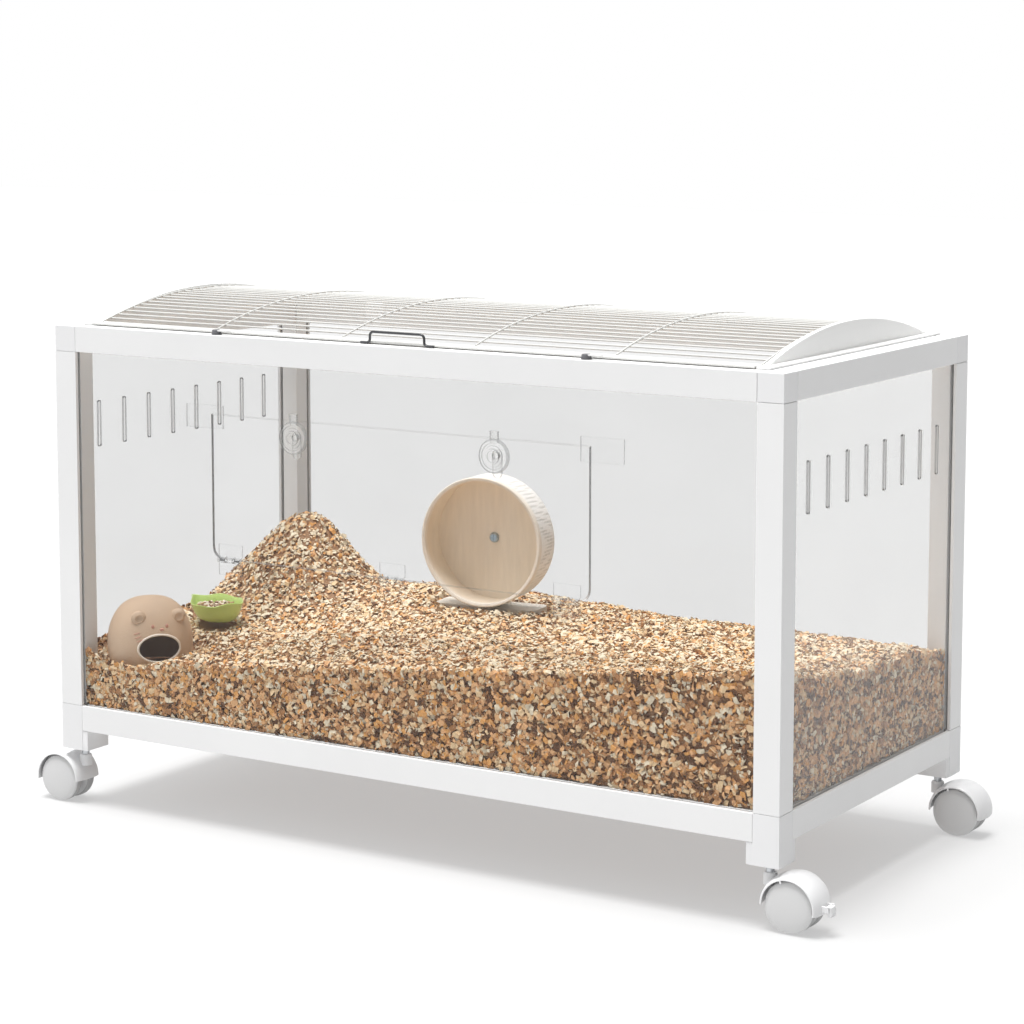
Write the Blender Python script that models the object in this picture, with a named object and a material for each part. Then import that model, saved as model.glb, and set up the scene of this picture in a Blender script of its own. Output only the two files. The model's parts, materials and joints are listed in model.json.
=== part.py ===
"""Hamster cage on casters, with an arched wire lid, a front access door and its furnishings.

Metres, +Z up, +Y to the back. The origin is on the floor, under the middle of the cage.
White hollow profiles meet in plugged corner blocks and hold clear panels in their grooves.
"""
import bmesh
import bpy
import math
from mathutils import Matrix, Vector

GAP = 0.0003                      # air left between two pieces that touch

# Frame
WIDTH = 1.000                     # outside of the frame, left to right
DEPTH = 0.486                     # outside of the frame, front to back
FRAME_TOP = 0.602
RAIL = 0.032                      # side of the square profiles
RAIL_BASE = 0.095                 # underside of the bottom rails
FOOT_BASE = 0.070                 # underside of the feet
FOOT = 0.040                      # side of a foot
BORE = (0.004, 0.022)             # hollow of a profile, from its outer faces
PLUG_LENGTH = 0.014
SKIRT_RECESS = 0.0006             # the foot's inner skirt stands back from the outer face
FRONT_PROUD = 0.0012              # the door's fittings stand out this much more than the back casters
Y_FRONT = (FRONT_PROUD - DEPTH) / 2
Y_BACK = Y_FRONT + DEPTH
Y_MID = (Y_FRONT + Y_BACK) / 2
CORNERS = {"front_left": (-1, -1), "front_right": (1, -1), "back_left": (-1, 1), "back_right": (1, 1)}

# Panels
SHEET = 0.003
RECESS = 0.005                    # from the frame's outer face to the panel's outer face
GROOVE_DEPTH = 0.007
GROOVE_SLACK = 0.0005
INSERTION = 0.006
NOTCH = 0.007                     # corner cut that clears the corner blocks
FLOOR_BASE = 0.107
SLOT_COUNT = 8
SLOT_PITCH = 0.0487
SLOT_Z = (0.4425, 0.5015)
SLOT_WIDTH = 0.005

# Front door
DOOR_HALF = 0.261
DOOR_Z = (0.3335, 0.506)
DOOR_SLACK = 0.001
DOOR_RADIUS = 0.014
PANEL_FACE = Y_FRONT + RECESS     # outer face of the front panel and the door
HINGE_AXIS = Vector((0, PANEL_FACE - 0.004, 0.333))
HINGE_X = {"left": -0.234, "middle": 0.0, "right": 0.234}
LATCH_X = {"left": -0.139, "right": 0.139}
LATCH_Z = 0.487
LATCH_RADIUS = 0.01975
LATCH_SHAFT = 0.004

# Lid
WIRE = 0.0022
BORDER = 0.0030                   # side of the border rods
LID_PLANE = FRAME_TOP + 0.0025    # level of the mesh at its front and back
MESH_HALF = 0.4560
ARCH_HALF = 0.205
ARCH_RISE = 0.0285                # apex of the mesh above the lid plane
WIRE_COUNT = 29
ARCH_X = (-0.276, -0.092, 0.092, 0.276)
BORDER_Y = 0.0210                 # border rod's outer face beyond the arch foot
END_PLATE_TOP = FRAME_TOP + 0.0348
CLIP_X = {"left": -0.34, "right": 0.34}
CLIP_WIDTH = 0.018
LID_AXIS = Vector((0, Y_MID + ARCH_HALF + BORDER_Y - BORDER / 2, LID_PLANE))
TURN_BUTTON = {"left": -0.255, "right": 0.255}

# Casters
WHEEL_RADIUS = 0.029
WHEEL_SIDES = 24
AXLE_Z = WHEEL_RADIUS * math.cos(math.pi / WHEEL_SIDES)   # the wheels stand on a flat of the tread
TRAIL = 0.030                     # wheel axle behind the swivel axis
CASTERS = {"front_left": 180, "front_right": 0, "back_left": 180, "back_right": 0}
BRAKED = ("front_right", "back_left")
LEVER_PIVOT = (0.0700, 0.0310)

# Furnishings
DRUM_RADIUS = 0.0815
DRUM_DEPTH = 0.046
DRUM_FRONT = Vector((-0.054, 0.031, 0.331))
DRUM_TURN = math.radians(7)
STAND_BASE = 0.239
BOWL_CENTRE = Vector((-0.402, -0.052, 0.210))
BOWL_TURN = math.radians(-12)
HOUSE_CENTRE = Vector((-0.4145, -0.1725, 0.174))
HOUSE_HALF = (0.0530, 0.0450)
HOUSE_HEIGHT = 0.086
HOUSE_TURN = math.radians(48)
BED_BASE = FLOOR_BASE + SHEET + GAP


# ---------------------------------------------------------------- materials
def material(name, colour, roughness, metallic=0.0, alpha=1.0):
    made = bpy.data.materials.new(name)
    made.use_nodes = True
    shader = made.node_tree.nodes["Principled BSDF"]
    shader.inputs["Base Color"].default_value = (*colour, 1.0)
    shader.inputs["Roughness"].default_value = roughness
    shader.inputs["Metallic"].default_value = metallic
    shader.inputs["Alpha"].default_value = alpha
    return made


# ---------------------------------------------------------------- shape tools
def cell_solid(xs, ys, zs, filled, place=None):
    """Closed solid of the filled cells of a box grid; place bends its grid points into space."""
    bm = bmesh.new()
    corners = {}

    def vert(i, j, k):
        if (i, j, k) not in corners:
            point = (xs[i], ys[j], zs[k])
            corners[i, j, k] = bm.verts.new(place(*point) if place else point)
        return corners[i, j, k]

    sides = (((-1, 0, 0), ((0, 0, 0), (0, 0, 1), (0, 1, 1), (0, 1, 0))),
             ((1, 0, 0), ((1, 0, 0), (1, 1, 0), (1, 1, 1), (1, 0, 1))),
             ((0, -1, 0), ((0, 0, 0), (1, 0, 0), (1, 0, 1), (0, 0, 1))),
             ((0, 1, 0), ((0, 1, 0), (0, 1, 1), (1, 1, 1), (1, 1, 0))),
             ((0, 0, -1), ((0, 0, 0), (0, 1, 0), (1, 1, 0), (1, 0, 0))),
             ((0, 0, 1), ((0, 0, 1), (1, 0, 1), (1, 1, 1), (0, 1, 1))))
    cells = {(i, j, k) for i in range(len(xs) - 1) for j in range(len(ys) - 1)
             for k in range(len(zs) - 1) if filled(i, j, k)}
    for i, j, k in sorted(cells):
        for (di, dj, dk), face in sides:
            if (i + di, j + dj, k + dk) not in cells:
                bm.faces.new([vert(i + a, j + b, k + c) for a, b, c in face])
    return bm


def boxes(*parts):
    """One closed solid from overlapping or touching boxes, each (low corner, high corner)."""
    grid = [sorted({round(part[end][axis], 6) for part in parts for end in (0, 1)}) for axis in range(3)]

    def filled(*cell):
        middle = [(grid[axis][n] + grid[axis][n + 1]) / 2 for axis, n in enumerate(cell)]
        return any(all(low[a] < middle[a] < high[a] for a in range(3)) for low, high in parts)

    bm = cell_solid(*grid, filled)
    bmesh.ops.dissolve_limit(bm, angle_limit=0.001, verts=bm.verts[:], edges=bm.edges[:])
    return bm


def plate(outline, holes, thickness):
    """Flat plate from z = 0 up, with an outline and holes given as lists of (x, y)."""
    bm = bmesh.new()
    loops = [[bm.verts.new((x, y, 0)) for x, y in loop] for loop in (outline, *holes)]
    rims = [(a, b) for loop in loops for a, b in zip(loop, loop[1:] + loop[:1])]
    edges = [bm.edges.new(rim) for rim in rims]
    bmesh.ops.triangle_fill(bm, use_beauty=True, use_dissolve=False, edges=edges)
    top = {vert: bm.verts.new(vert.co + Vector((0, 0, thickness))) for loop in loops for vert in loop}
    for face in bm.faces[:]:
        bm.faces.new([top[vert] for vert in face.verts])
    for a, b in rims:
        bm.faces.new((a, b, top[b], top[a]))
    bmesh.ops.recalc_face_normals(bm, faces=bm.faces[:])
    return bm


def turned(profile, steps, start=0.0, sweep=360.0):
    """Solid turned about +Z from a closed profile of (radius, z); angles in degrees."""
    bm = bmesh.new()
    full = sweep >= 360.0
    rings = []
    for step in range(steps if full else steps + 1):
        angle = math.radians(start + sweep * step / steps)
        rings.append([(r * math.cos(angle), r * math.sin(angle), z) for r, z in profile])
    axis_points = {}
    grid = []
    for ring in rings:
        row = []
        for n, point in enumerate(ring):
            if profile[n][0] < 1e-7:
                if n not in axis_points:
                    axis_points[n] = bm.verts.new(point)
                row.append(axis_points[n])
            else:
                row.append(bm.verts.new(point))
        grid.append(row)
    pairs = zip(grid, grid[1:] + grid[:1]) if full else zip(grid, grid[1:])
    for here, there in pairs:
        for n in range(len(profile)):
            m = (n + 1) % len(profile)
            corners = list(dict.fromkeys((here[n], here[m], there[m], there[n])))
            if len(corners) > 2:
                bm.faces.new(corners)
    if not full:
        bm.faces.new(grid[0])
        bm.faces.new(grid[-1][::-1])
    bmesh.ops.recalc_face_normals(bm, faces=bm.faces[:])
    return bm


def rod(radius, length, steps, start=(0, 0, 0), axis="Z"):
    """Round rod from start, along one axis."""
    bm = turned([(0, 0), (radius, 0), (radius, length), (0, length)], steps, start=180.0 / steps)
    quarter = math.pi / 2
    aim = {"Z": Matrix(), "Y": Matrix.Rotation(-quarter, 4, "X"), "X": Matrix.Rotation(quarter, 4, "Y")}
    bmesh.ops.transform(bm, matrix=Matrix.Translation(start) @ aim[axis], verts=bm.verts[:])
    return bm


def move(bm, matrix):
    bmesh.ops.transform(bm, matrix=matrix, verts=bm.verts[:])
    bmesh.ops.recalc_face_normals(bm, faces=bm.faces[:])
    return bm


def mesh_of(bm, name, smooth_below=35.0):
    mesh = bpy.data.meshes.new(name)
    bm.to_mesh(mesh)
    bm.free()
    mesh.shade_smooth()
    mesh.set_sharp_from_angle(angle=math.radians(smooth_below))
    return mesh


def combined(name, base, *steps, smooth_below=35.0):
    """Mesh of base after each (operation, solid) in turn, by exact Booleans."""
    holders = [bpy.data.objects.new(name + "_base", mesh_of(base, name + "_base"))]
    for operation, solid in steps:
        tool = bpy.data.objects.new(name + "_tool", mesh_of(solid, name + "_tool"))
        cut = holders[0].modifiers.new(operation, "BOOLEAN")
        cut.operation = operation
        cut.solver = "EXACT"
        cut.object = tool
        holders.append(tool)
    for holder in holders:
        bpy.context.collection.objects.link(holder)
    graph = bpy.context.evaluated_depsgraph_get()
    mesh = bpy.data.meshes.new_from_object(holders[0].evaluated_get(graph))
    mesh.name = name
    mesh.shade_smooth()
    mesh.set_sharp_from_angle(angle=math.radians(smooth_below))
    for holder in holders:
        bpy.data.objects.remove(holder)
    return mesh


def add(name, mesh, finish, location=(0, 0, 0), turn=0.0, parent=None):
    """Place a mesh as one named piece; turn is about +Z in radians."""
    if isinstance(mesh, bmesh.types.BMesh):
        mesh = mesh_of(mesh, name)
    if not mesh.materials:
        mesh.materials.append(finish)
    piece = bpy.data.objects.new(name, mesh)
    bpy.context.collection.objects.link(piece)
    piece.parent = parent
    piece.location = Vector(location) - (parent.location if parent else Vector())
    piece.rotation_euler = (0, 0, turn)
    return piece


def axis_empty(name, location):
    empty = bpy.data.objects.new(name, None)
    bpy.context.collection.objects.link(empty)
    empty.location = location
    empty.empty_display_size = 0.03
    return empty


def arc(centre, radius, first, last, count):
    """Points of an arc, angles in degrees, both ends included."""
    angles = [math.radians(first + (last - first) * n / (count - 1)) for n in range(count)]
    return [(centre[0] + radius * math.cos(a), centre[1] + radius * math.sin(a)) for a in angles]


def door_outline(half, bottom, top, radius):
    """Rectangle with its two lower corners rounded."""
    left = arc((-half + radius, bottom + radius), radius, 180, 270, 5)
    right = arc((half - radius, bottom + radius), radius, 270, 360, 5)
    return left + right + [(half, top), (-half, top)]


def notched_rectangle(low, high, notch):
    (x0, y0), (x1, y1) = low, high
    return [(x0 + notch, y0), (x1 - notch, y0), (x1 - notch, y0 + notch), (x1, y0 + notch),
            (x1, y1 - notch), (x1 - notch, y1 - notch), (x1 - notch, y1), (x0 + notch, y1),
            (x0 + notch, y1 - notch), (x0, y1 - notch), (x0, y0 + notch), (x0 + notch, y0 + notch)]


def standing(plane, offset):
    """Matrix that stands an XY plate up, in the XZ or YZ plane, from the given offset inwards."""
    if plane == "XZ":
        return Matrix(((1, 0, 0, 0), (0, 0, 1, offset), (0, 1, 0, 0), (0, 0, 0, 1)))
    return Matrix(((0, 0, 1, offset), (1, 0, 0, 0), (0, 1, 0, 0), (0, 0, 0, 1)))


# ---------------------------------------------------------------- frame
def profile_outline(far_groove=None, side_groove=None):
    """Square section from its outer corner; a groove is where it starts, on the far or side face."""
    width = SHEET + 2 * GROOVE_SLACK
    inner = RAIL - GROOVE_DEPTH
    points = [(0, 0), (RAIL, 0)]
    if far_groove is not None:
        end = far_groove + width
        points += [(RAIL, far_groove), (inner, far_groove), (inner, end), (RAIL, end)]
    points.append((RAIL, RAIL))
    if side_groove is not None:
        end = side_groove + width
        points += [(end, RAIL), (end, inner), (side_groove, inner), (side_groove, RAIL)]
    points.append((0, RAIL))
    return points


def add_profile(name, finish, corner, inward_u, inward_v, run, length, **grooves):
    """Hollow profile whose outer edge starts at corner and runs along run."""
    low, high = BORE
    bm = plate(profile_outline(**grooves), [[(low, low), (high, low), (high, high), (low, high)]], length)
    basis = Matrix((inward_u, inward_v, run)).transposed().to_4x4()
    basis.translation = corner
    add(name, move(bm, basis), finish)


def add_frame(white, connector):
    x_half = WIDTH / 2
    start = RECESS - GROOVE_SLACK
    floor_groove = FLOOR_BASE - RAIL_BASE - GROOVE_SLACK
    post_low = RAIL_BASE + RAIL + GAP
    post_length = FRAME_TOP - RAIL - GAP - post_low
    for name, (sx, sy) in CORNERS.items():
        edge_y = Y_FRONT if sy < 0 else Y_BACK
        add_profile(name + "_post", white, (sx * x_half, edge_y, post_low), (-sx, 0, 0), (0, -sy, 0),
                    (0, 0, 1), post_length, far_groove=start, side_groove=start)
        add(name + "_top_corner", corner_block(sx, sy, edge_y), connector)
        add(name + "_foot", foot_block(name, sx, sy, edge_y), connector)
    for side, sy, edge_y in (("front", -1, Y_FRONT), ("back", 1, Y_BACK)):
        ends = x_half - RAIL - GAP
        add_profile(side + "_top_rail", white, (-ends, edge_y, FRAME_TOP), (0, -sy, 0), (0, 0, -1),
                    (1, 0, 0), 2 * ends, side_groove=start)
        add_profile(side + "_bottom_rail", white, (-ends, edge_y, RAIL_BASE), (0, -sy, 0), (0, 0, 1),
                    (1, 0, 0), 2 * ends, far_groove=floor_groove, side_groove=start)
    for side, sx in (("left", -1), ("right", 1)):
        first = Y_FRONT + RAIL + GAP
        span = DEPTH - 2 * (RAIL + GAP)
        add_profile(side + "_top_rail", white, (sx * x_half, first, FRAME_TOP), (-sx, 0, 0), (0, 0, -1),
                    (0, 1, 0), span, side_groove=start)
        add_profile(side + "_bottom_rail", white, (sx * x_half, first, RAIL_BASE), (-sx, 0, 0), (0, 0, 1),
                    (0, 1, 0), span, far_groove=floor_groove, side_groove=start)


def plugs():
    """The three plugs of a corner block, in block axes that run inwards from its outer corner."""
    low, high = BORE[0] + GAP, BORE[1] - GAP
    return [((RAIL if n == axis else low for n in range(3)),
             (RAIL + PLUG_LENGTH if n == axis else high for n in range(3))) for axis in range(3)]


def to_corner(sx, sy, edge_y, z, up):
    """Matrix from block axes (inwards in x, inwards in y, towards the post) to the cage."""
    return Matrix(((-sx, 0, 0, sx * WIDTH / 2), (0, -sy, 0, edge_y), (0, 0, up, z), (0, 0, 0, 1)))


def corner_block(sx, sy, edge_y):
    solids = [((0, 0, 0), (RAIL, RAIL, RAIL))] + [(tuple(low), tuple(high)) for low, high in plugs()]
    return move(boxes(*solids), to_corner(sx, sy, edge_y, FRAME_TOP, -1))


def foot_block(name, sx, sy, edge_y):
    """Bottom corner block with the foot under it and the bore for the caster stem."""
    drop = RAIL_BASE - FOOT_BASE
    block = ((0, 0, -drop), (RAIL, RAIL, RAIL))
    skirt = ((SKIRT_RECESS, SKIRT_RECESS, -drop), (FOOT, FOOT, -GAP))
    solids = [block, skirt] + [(tuple(low), tuple(high)) for low, high in plugs()]
    bore = rod(0.0055, 0.023, 12, (FOOT / 2, FOOT / 2, -drop - 0.001))
    mesh = combined(name + "_foot", boxes(*solids), ("DIFFERENCE", bore))
    mesh.transform(to_corner(sx, sy, edge_y, RAIL_BASE, 1))
    if sx * sy < 0:
        mesh.flip_normals()
    return mesh


# ---------------------------------------------------------------- panels
def vent_slot(centre):
    radius = SLOT_WIDTH / 2
    top = arc((centre, SLOT_Z[1] - radius), radius, 0, 180, 4)
    bottom = arc((centre, SLOT_Z[0] + radius), radius, 180, 360, 4)
    return top + bottom


def add_panels(clear):
    reach = WIDTH / 2 - RAIL + INSERTION
    y_reach = DEPTH / 2 - RAIL + INSERTION
    low_z = RAIL_BASE + RAIL - INSERTION
    high_z = FRAME_TOP - RAIL + INSERTION
    wall = notched_rectangle((-reach, low_z), (reach, high_z), NOTCH)
    cut_out = door_outline(DOOR_HALF + DOOR_SLACK, DOOR_Z[0] - DOOR_SLACK,
                                   DOOR_Z[1] + DOOR_SLACK, DOOR_RADIUS)
    add("front_panel", move(plate(wall, [cut_out], SHEET), standing("XZ", PANEL_FACE)), clear)
    add("back_panel", move(plate(wall, [], SHEET), standing("XZ", Y_BACK - RECESS - SHEET)), clear)
    slots = [vent_slot(Y_MID + (n - (SLOT_COUNT - 1) / 2) * SLOT_PITCH) for n in range(SLOT_COUNT)]
    end = notched_rectangle((Y_MID - y_reach, low_z), (Y_MID + y_reach, high_z), NOTCH)
    for side, offset in (("left", -WIDTH / 2 + RECESS), ("right", WIDTH / 2 - RECESS - SHEET)):
        add(side + "_panel", move(plate(end, slots, SHEET), standing("YZ", offset)), clear)
    floor = notched_rectangle((-reach, Y_MID - y_reach), (reach, Y_MID + y_reach), NOTCH)
    add("floor_panel", move(plate(floor, [], SHEET), Matrix.Translation((0, 0, FLOOR_BASE))), clear)


# ---------------------------------------------------------------- front door
def panel_leaf():
    """Fixed hinge leaf with the middle knuckle and the pin, about its own hinge axis."""
    face = PANEL_FACE - HINGE_AXIS.y - GAP
    leaf = boxes(((-0.0175, face - 0.002, -0.0185), (0.0175, face, -0.0042)),
                 ((-0.0050, face - 0.002, -0.0185), (0.0050, face, 0.0)))
    knuckle = rod(0.0034, 0.011, 14, (-0.0055, 0, 0), "X")
    pin = rod(0.0015, 0.033, 10, (-0.0165, 0, 0), "X")
    return combined("panel_leaf", leaf, ("UNION", knuckle), ("UNION", pin))


def door_leaf():
    """Moving hinge leaf with the two outer knuckles, about the same axis."""
    face = PANEL_FACE - HINGE_AXIS.y - GAP
    arm = ((0.0064, face - 0.002, 0.0), (0.0161, face, 0.0185))
    mirrored = ((-arm[1][0], arm[0][1], arm[0][2]), (-arm[0][0], arm[1][1], arm[1][2]))
    leaf = boxes(((-0.0175, face - 0.002, 0.0042), (0.0175, face, 0.0185)), arm, mirrored)
    steps = [("UNION", rod(0.0034, 0.0105, 14, (x, 0, 0), "X")) for x in (-0.0165, 0.0060)]
    steps.append(("DIFFERENCE", rod(0.0019, 0.036, 10, (-0.018, 0, 0), "X")))
    return combined("door_leaf", leaf, *steps)


def door_latch():
    """Round turn latch about its own axis: outer disc with a neck, shaft and inner cam."""
    outside = PANEL_FACE - GAP
    inside = PANEL_FACE + SHEET + GAP
    disc_back = outside - PANEL_FACE
    disc = [(0, disc_back), (LATCH_RADIUS, disc_back), (LATCH_RADIUS, -0.0035), (0.0165, -0.0050),
            (0.0100, -0.0050), (0.0085, -0.0070), (0, -0.0070)]
    body = move(turned(disc, 24), Matrix.Rotation(math.pi / 2, 4, "X") @ Matrix.Scale(-1, 4, (0, 0, 1)))
    neck = boxes(((-0.0055, -0.0035, 0.012), (0.0055, disc_back, 0.0285)))
    shaft = rod(LATCH_SHAFT, inside - PANEL_FACE + 0.002, 12, (0, -0.001, 0), "Y")
    cam_face = inside - PANEL_FACE
    cam = boxes(((-0.006, cam_face, -0.026), (0.006, cam_face + 0.003, 0.007)))
    return combined("door_latch", body, ("UNION", neck), ("UNION", shaft), ("UNION", cam))


def add_door(clear):
    swing = axis_empty("door_axis", HINGE_AXIS)
    holes = [arc((x, LATCH_Z), LATCH_SHAFT + 0.0006, 0, 330, 12) for x in LATCH_X.values()]
    outline = door_outline(DOOR_HALF, DOOR_Z[0], DOOR_Z[1], DOOR_RADIUS)
    sheet = move(plate(outline, holes, SHEET), standing("XZ", PANEL_FACE))
    add("front_door", move(sheet, Matrix.Translation(-HINGE_AXIS)), clear, HINGE_AXIS, parent=swing)
    fixed_mesh, moving_mesh, latch_mesh = panel_leaf(), door_leaf(), door_latch()
    for side, x in HINGE_X.items():
        place = HINGE_AXIS + Vector((x, 0, 0))
        add("door_hinge_%s_panel_leaf" % side, fixed_mesh, clear, place)
        add("door_hinge_%s_door_leaf" % side, moving_mesh, clear, place, parent=swing)
    for side, x in LATCH_X.items():
        add("door_latch_" + side, latch_mesh, clear, (x, PANEL_FACE, LATCH_Z), parent=swing)
    for side, sx in (("left", -1), ("right", 1)):
        x0, x1 = sorted((sx * 0.2475, sx * 0.3025))
        inside = PANEL_FACE + SHEET + GAP
        stop = boxes(((x0, inside, DOOR_Z[1] - 0.017), (x1, inside + 0.003, DOOR_Z[1] + 0.011)))
        add("door_stop_" + side, stop, clear)


# ---------------------------------------------------------------- lid
def arch_point(s, lift, half, rise, base):
    """Point (y, z) on an arch at signed length s from its apex; flat beyond the arch's feet."""
    radius = (half * half + rise * rise) / (2 * rise)
    foot = radius * math.asin(half / radius)
    if abs(s) >= foot - 1e-9:
        return Y_MID + math.copysign(half + abs(s) - foot, s), base + lift
    angle = s / radius
    return (Y_MID + (radius + lift) * math.sin(angle),
            base + rise - radius + (radius + lift) * math.cos(angle))


def add_lid_mesh(wire, swing):
    """Welded mesh: arched cross wires, straight wires along them, and two border rods."""
    radius = (ARCH_HALF ** 2 + ARCH_RISE ** 2) / (2 * ARCH_RISE)
    foot = radius * math.asin(ARCH_HALF / radius)
    pitch = 2 * foot / (WIRE_COUNT - 1)
    wires = [-foot + pitch * n for n in range(WIRE_COUNT)]
    strips = [(w - WIRE / 2, w + WIRE / 2) for w in wires[1:-1]]
    strips = [(-foot, -foot + WIRE)] + strips + [(foot - WIRE, foot)]
    rods = [(-foot - BORDER_Y, -foot - BORDER_Y + BORDER), (foot + BORDER_Y - BORDER, foot + BORDER_Y)]
    ss = sorted({round(edge, 6) for pair in strips + rods for edge in pair})
    half_wire = WIRE / 2
    arches = [(-MESH_HALF, -MESH_HALF + WIRE), (MESH_HALF - WIRE, MESH_HALF)]
    arches += [(x - half_wire, x + half_wire) for x in ARCH_X]
    free = CLIP_WIDTH / 2 + 0.004
    clips = [(x - free, x + free) for x in CLIP_X.values()]
    xs = sorted({round(edge, 6) for pair in arches + clips for edge in pair})
    levels = (-BORDER / 2, -half_wire, half_wire, BORDER / 2)

    def within(value, spans):
        return any(low < value < high for low, high in spans)

    def filled(i, j, k):
        x = (xs[i] + xs[i + 1]) / 2
        s = (ss[j] + ss[j + 1]) / 2
        if within(s, rods):
            return True
        if k != 1:
            return False
        border_strip = abs(s) > foot
        if border_strip:
            return not (s > 0 and within(x, clips))
        return within(s, strips) or within(x, arches)

    def place(x, s, lift):
        y, z = arch_point(s, lift, ARCH_HALF, ARCH_RISE, LID_PLANE)
        return (x, y - LID_AXIS.y, z - LID_AXIS.z)

    add("lid_mesh", cell_solid(xs, ss, levels, filled, place), wire, LID_AXIS, parent=swing)


def add_end_plates(white, swing):
    """Solid arched plate with a low flange, at each end of the mesh."""
    base = FRAME_TOP + GAP
    flange = FRAME_TOP + 0.0028
    rise = END_PLATE_TOP - flange - 0.0007
    radius = (ARCH_HALF ** 2 + rise ** 2) / (2 * rise)
    foot = radius * math.asin(ARCH_HALF / radius)
    steps = 16
    ss = [-foot + 2 * foot * n / steps for n in range(steps + 1)]
    ss = [-foot - BORDER_Y + BORDER] + ss + [foot + BORDER_Y - BORDER]
    for side, sx in (("left", -1), ("right", 1)):
        xs = (MESH_HALF + GAP, MESH_HALF + 0.0063, MESH_HALF + 0.0175)

        def filled(i, j, k):
            under_arch = 0 < j < len(ss) - 2
            return k == 0 or (i == 0 and under_arch)

        def place(x, s, level):
            y, arch_z = arch_point(s, 0.0, ARCH_HALF, rise, flange + 0.0007)
            z = (base, flange, arch_z)[level]
            return (sx * x, y - LID_AXIS.y, z - LID_AXIS.z)

        bm = cell_solid(xs, ss, (0, 1, 2), filled, place)
        bmesh.ops.recalc_face_normals(bm, faces=bm.faces[:])
        add("lid_end_plate_" + side, bm, white, LID_AXIS, parent=swing)


def add_lid_handle(dark, swing):
    """Bent wire handle standing just in front of the lid's front border rod."""
    wire_radius, leg, top, bend, foot_out = 0.0018, 0.0375, 0.0125, 0.0050, 0.0135
    route = [(-leg - foot_out, 0), (-leg - 0.003, 0)]
    route += [(-leg + 0.003 - x, z) for x, z in ((0.003, 0.0006), (0.002, 0.003))]
    route += arc((-leg + bend, top - bend), bend, 180, 90, 5)
    route += [(-x, z) for x, z in route[::-1]]
    curve = bpy.data.curves.new("lid_handle", "CURVE")
    curve.dimensions = "3D"
    curve.bevel_depth = wire_radius
    curve.bevel_resolution = 2
    curve.use_fill_caps = True
    spline = curve.splines.new("POLY")
    spline.points.add(len(route) - 1)
    for point, (x, z) in zip(spline.points, route):
        point.co = (x, 0, z, 1)
    base = Vector((0, Y_MID - ARCH_HALF - BORDER_Y - GAP - wire_radius, FRAME_TOP + GAP + wire_radius))
    curve.materials.append(dark)
    handle = bpy.data.objects.new("lid_handle", curve)
    bpy.context.collection.objects.link(handle)
    handle.parent = swing
    handle.location = base - LID_AXIS


def add_lid_fittings(white, grey):
    """Saddle clips over the back border rod, and turn buttons on the front rail."""
    low = FRAME_TOP + GAP - LID_AXIS.z
    throat = 0.00245
    gape = math.degrees(math.asin(-low / throat))
    outline = [(0.0085, low), (0.0085, low + 0.0014), (0.0046, low + 0.0014)]
    outline += arc((0, 0), 0.0043, 5, 175, 9) + [(-0.0046, low)]
    outline += arc((0, 0), throat, 180 + gape, -gape, 12)
    for side, x in CLIP_X.items():
        bm = move(plate(outline, [], CLIP_WIDTH), standing("YZ", -CLIP_WIDTH / 2))
        add("lid_clip_" + side, bm, white, LID_AXIS + Vector((x, 0, 0)))
    button_y = Y_FRONT + 0.0085
    for side, x in TURN_BUTTON.items():
        button = turned([(0, GAP), (0.0062, GAP), (0.0062, 0.0052), (0.0052, 0.0062), (0, 0.0062)], 16)
        tab = boxes(((0, -0.0036, 0.0044), (0.0205, 0.0036, 0.0059)))
        mesh = combined("turn_button_" + side, button, ("UNION", tab))
        add("lid_latch_" + side, mesh, grey, (x, button_y, FRAME_TOP))


def add_lid(wire, white, dark, grey):
    swing = axis_empty("lid_axis", LID_AXIS)
    add_lid_mesh(wire, swing)
    add_end_plates(white, swing)
    add_lid_handle(dark, swing)
    add_lid_fittings(white, grey)


# ---------------------------------------------------------------- casters
def about_axle(bm):
    """Stand a solid turned about Z onto the wheel axle, its angles seen from the front."""
    return move(bm, Matrix.Translation((TRAIL, 0, AXLE_Z)) @ Matrix.Rotation(math.pi / 2, 4, "X"))


def caster_body(braked):
    """Hood, web, axle boss and stem of a caster, about its swivel axis, from the floor up."""
    hood = [(0.0322, -0.0212), (0.0345, -0.0140), (0.0360, 0), (0.0345, 0.0140), (0.0322, 0.0212),
            (0.0302, 0.0212), (0.0325, 0.0140), (0.0340, 0.0030), (0.0150, 0.0030), (0.0150, -0.0030),
            (0.0340, -0.0030), (0.0325, -0.0140), (0.0302, -0.0212)]
    shell = about_axle(turned(hood, 12, start=-8.0, sweep=188.0))
    boss = about_axle(turned([(0.0046, -0.0040), (0.0170, -0.0040), (0.0170, 0.0040), (0.0046, 0.0040)], 16))
    collar = rod(0.0078, 0.0140, 12, (0, 0, 0.0465))
    stem = rod(0.0048, FOOT_BASE + 0.0195 - 0.0550, 12, (0, 0, 0.0550))
    steps = [("UNION", boss), ("UNION", collar), ("UNION", stem)]
    if braked:
        x, z = LEVER_PIVOT
        for y in (-0.0085, 0.0062):
            cheek = boxes(((x - 0.0085, y, z - 0.0035), (x + 0.0032, y + 0.0023, z + 0.0033)))
            steps.append(("UNION", cheek))
        steps.append(("DIFFERENCE", rod(0.0018, 0.022, 10, (x, -0.011, z), "Y")))
    return combined("caster_body_braked" if braked else "caster_body", shell, *steps)


def wheel_pair():
    """Two wheels on one axle, about the axle."""
    side = [(0, 0.0205), (0.0200, 0.0205), (0.0265, 0.0195), (0.0290, 0.0170), (0.0290, 0.0075),
            (0.0275, 0.0058), (0.0040, 0.0058)]
    profile = side + [(r, -y) for r, y in side[::-1]]
    solid = turned(profile, WHEEL_SIDES, start=180.0 / WHEEL_SIDES)
    return mesh_of(move(solid, Matrix.Rotation(math.pi / 2, 4, "X")), "wheel_pair")


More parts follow.
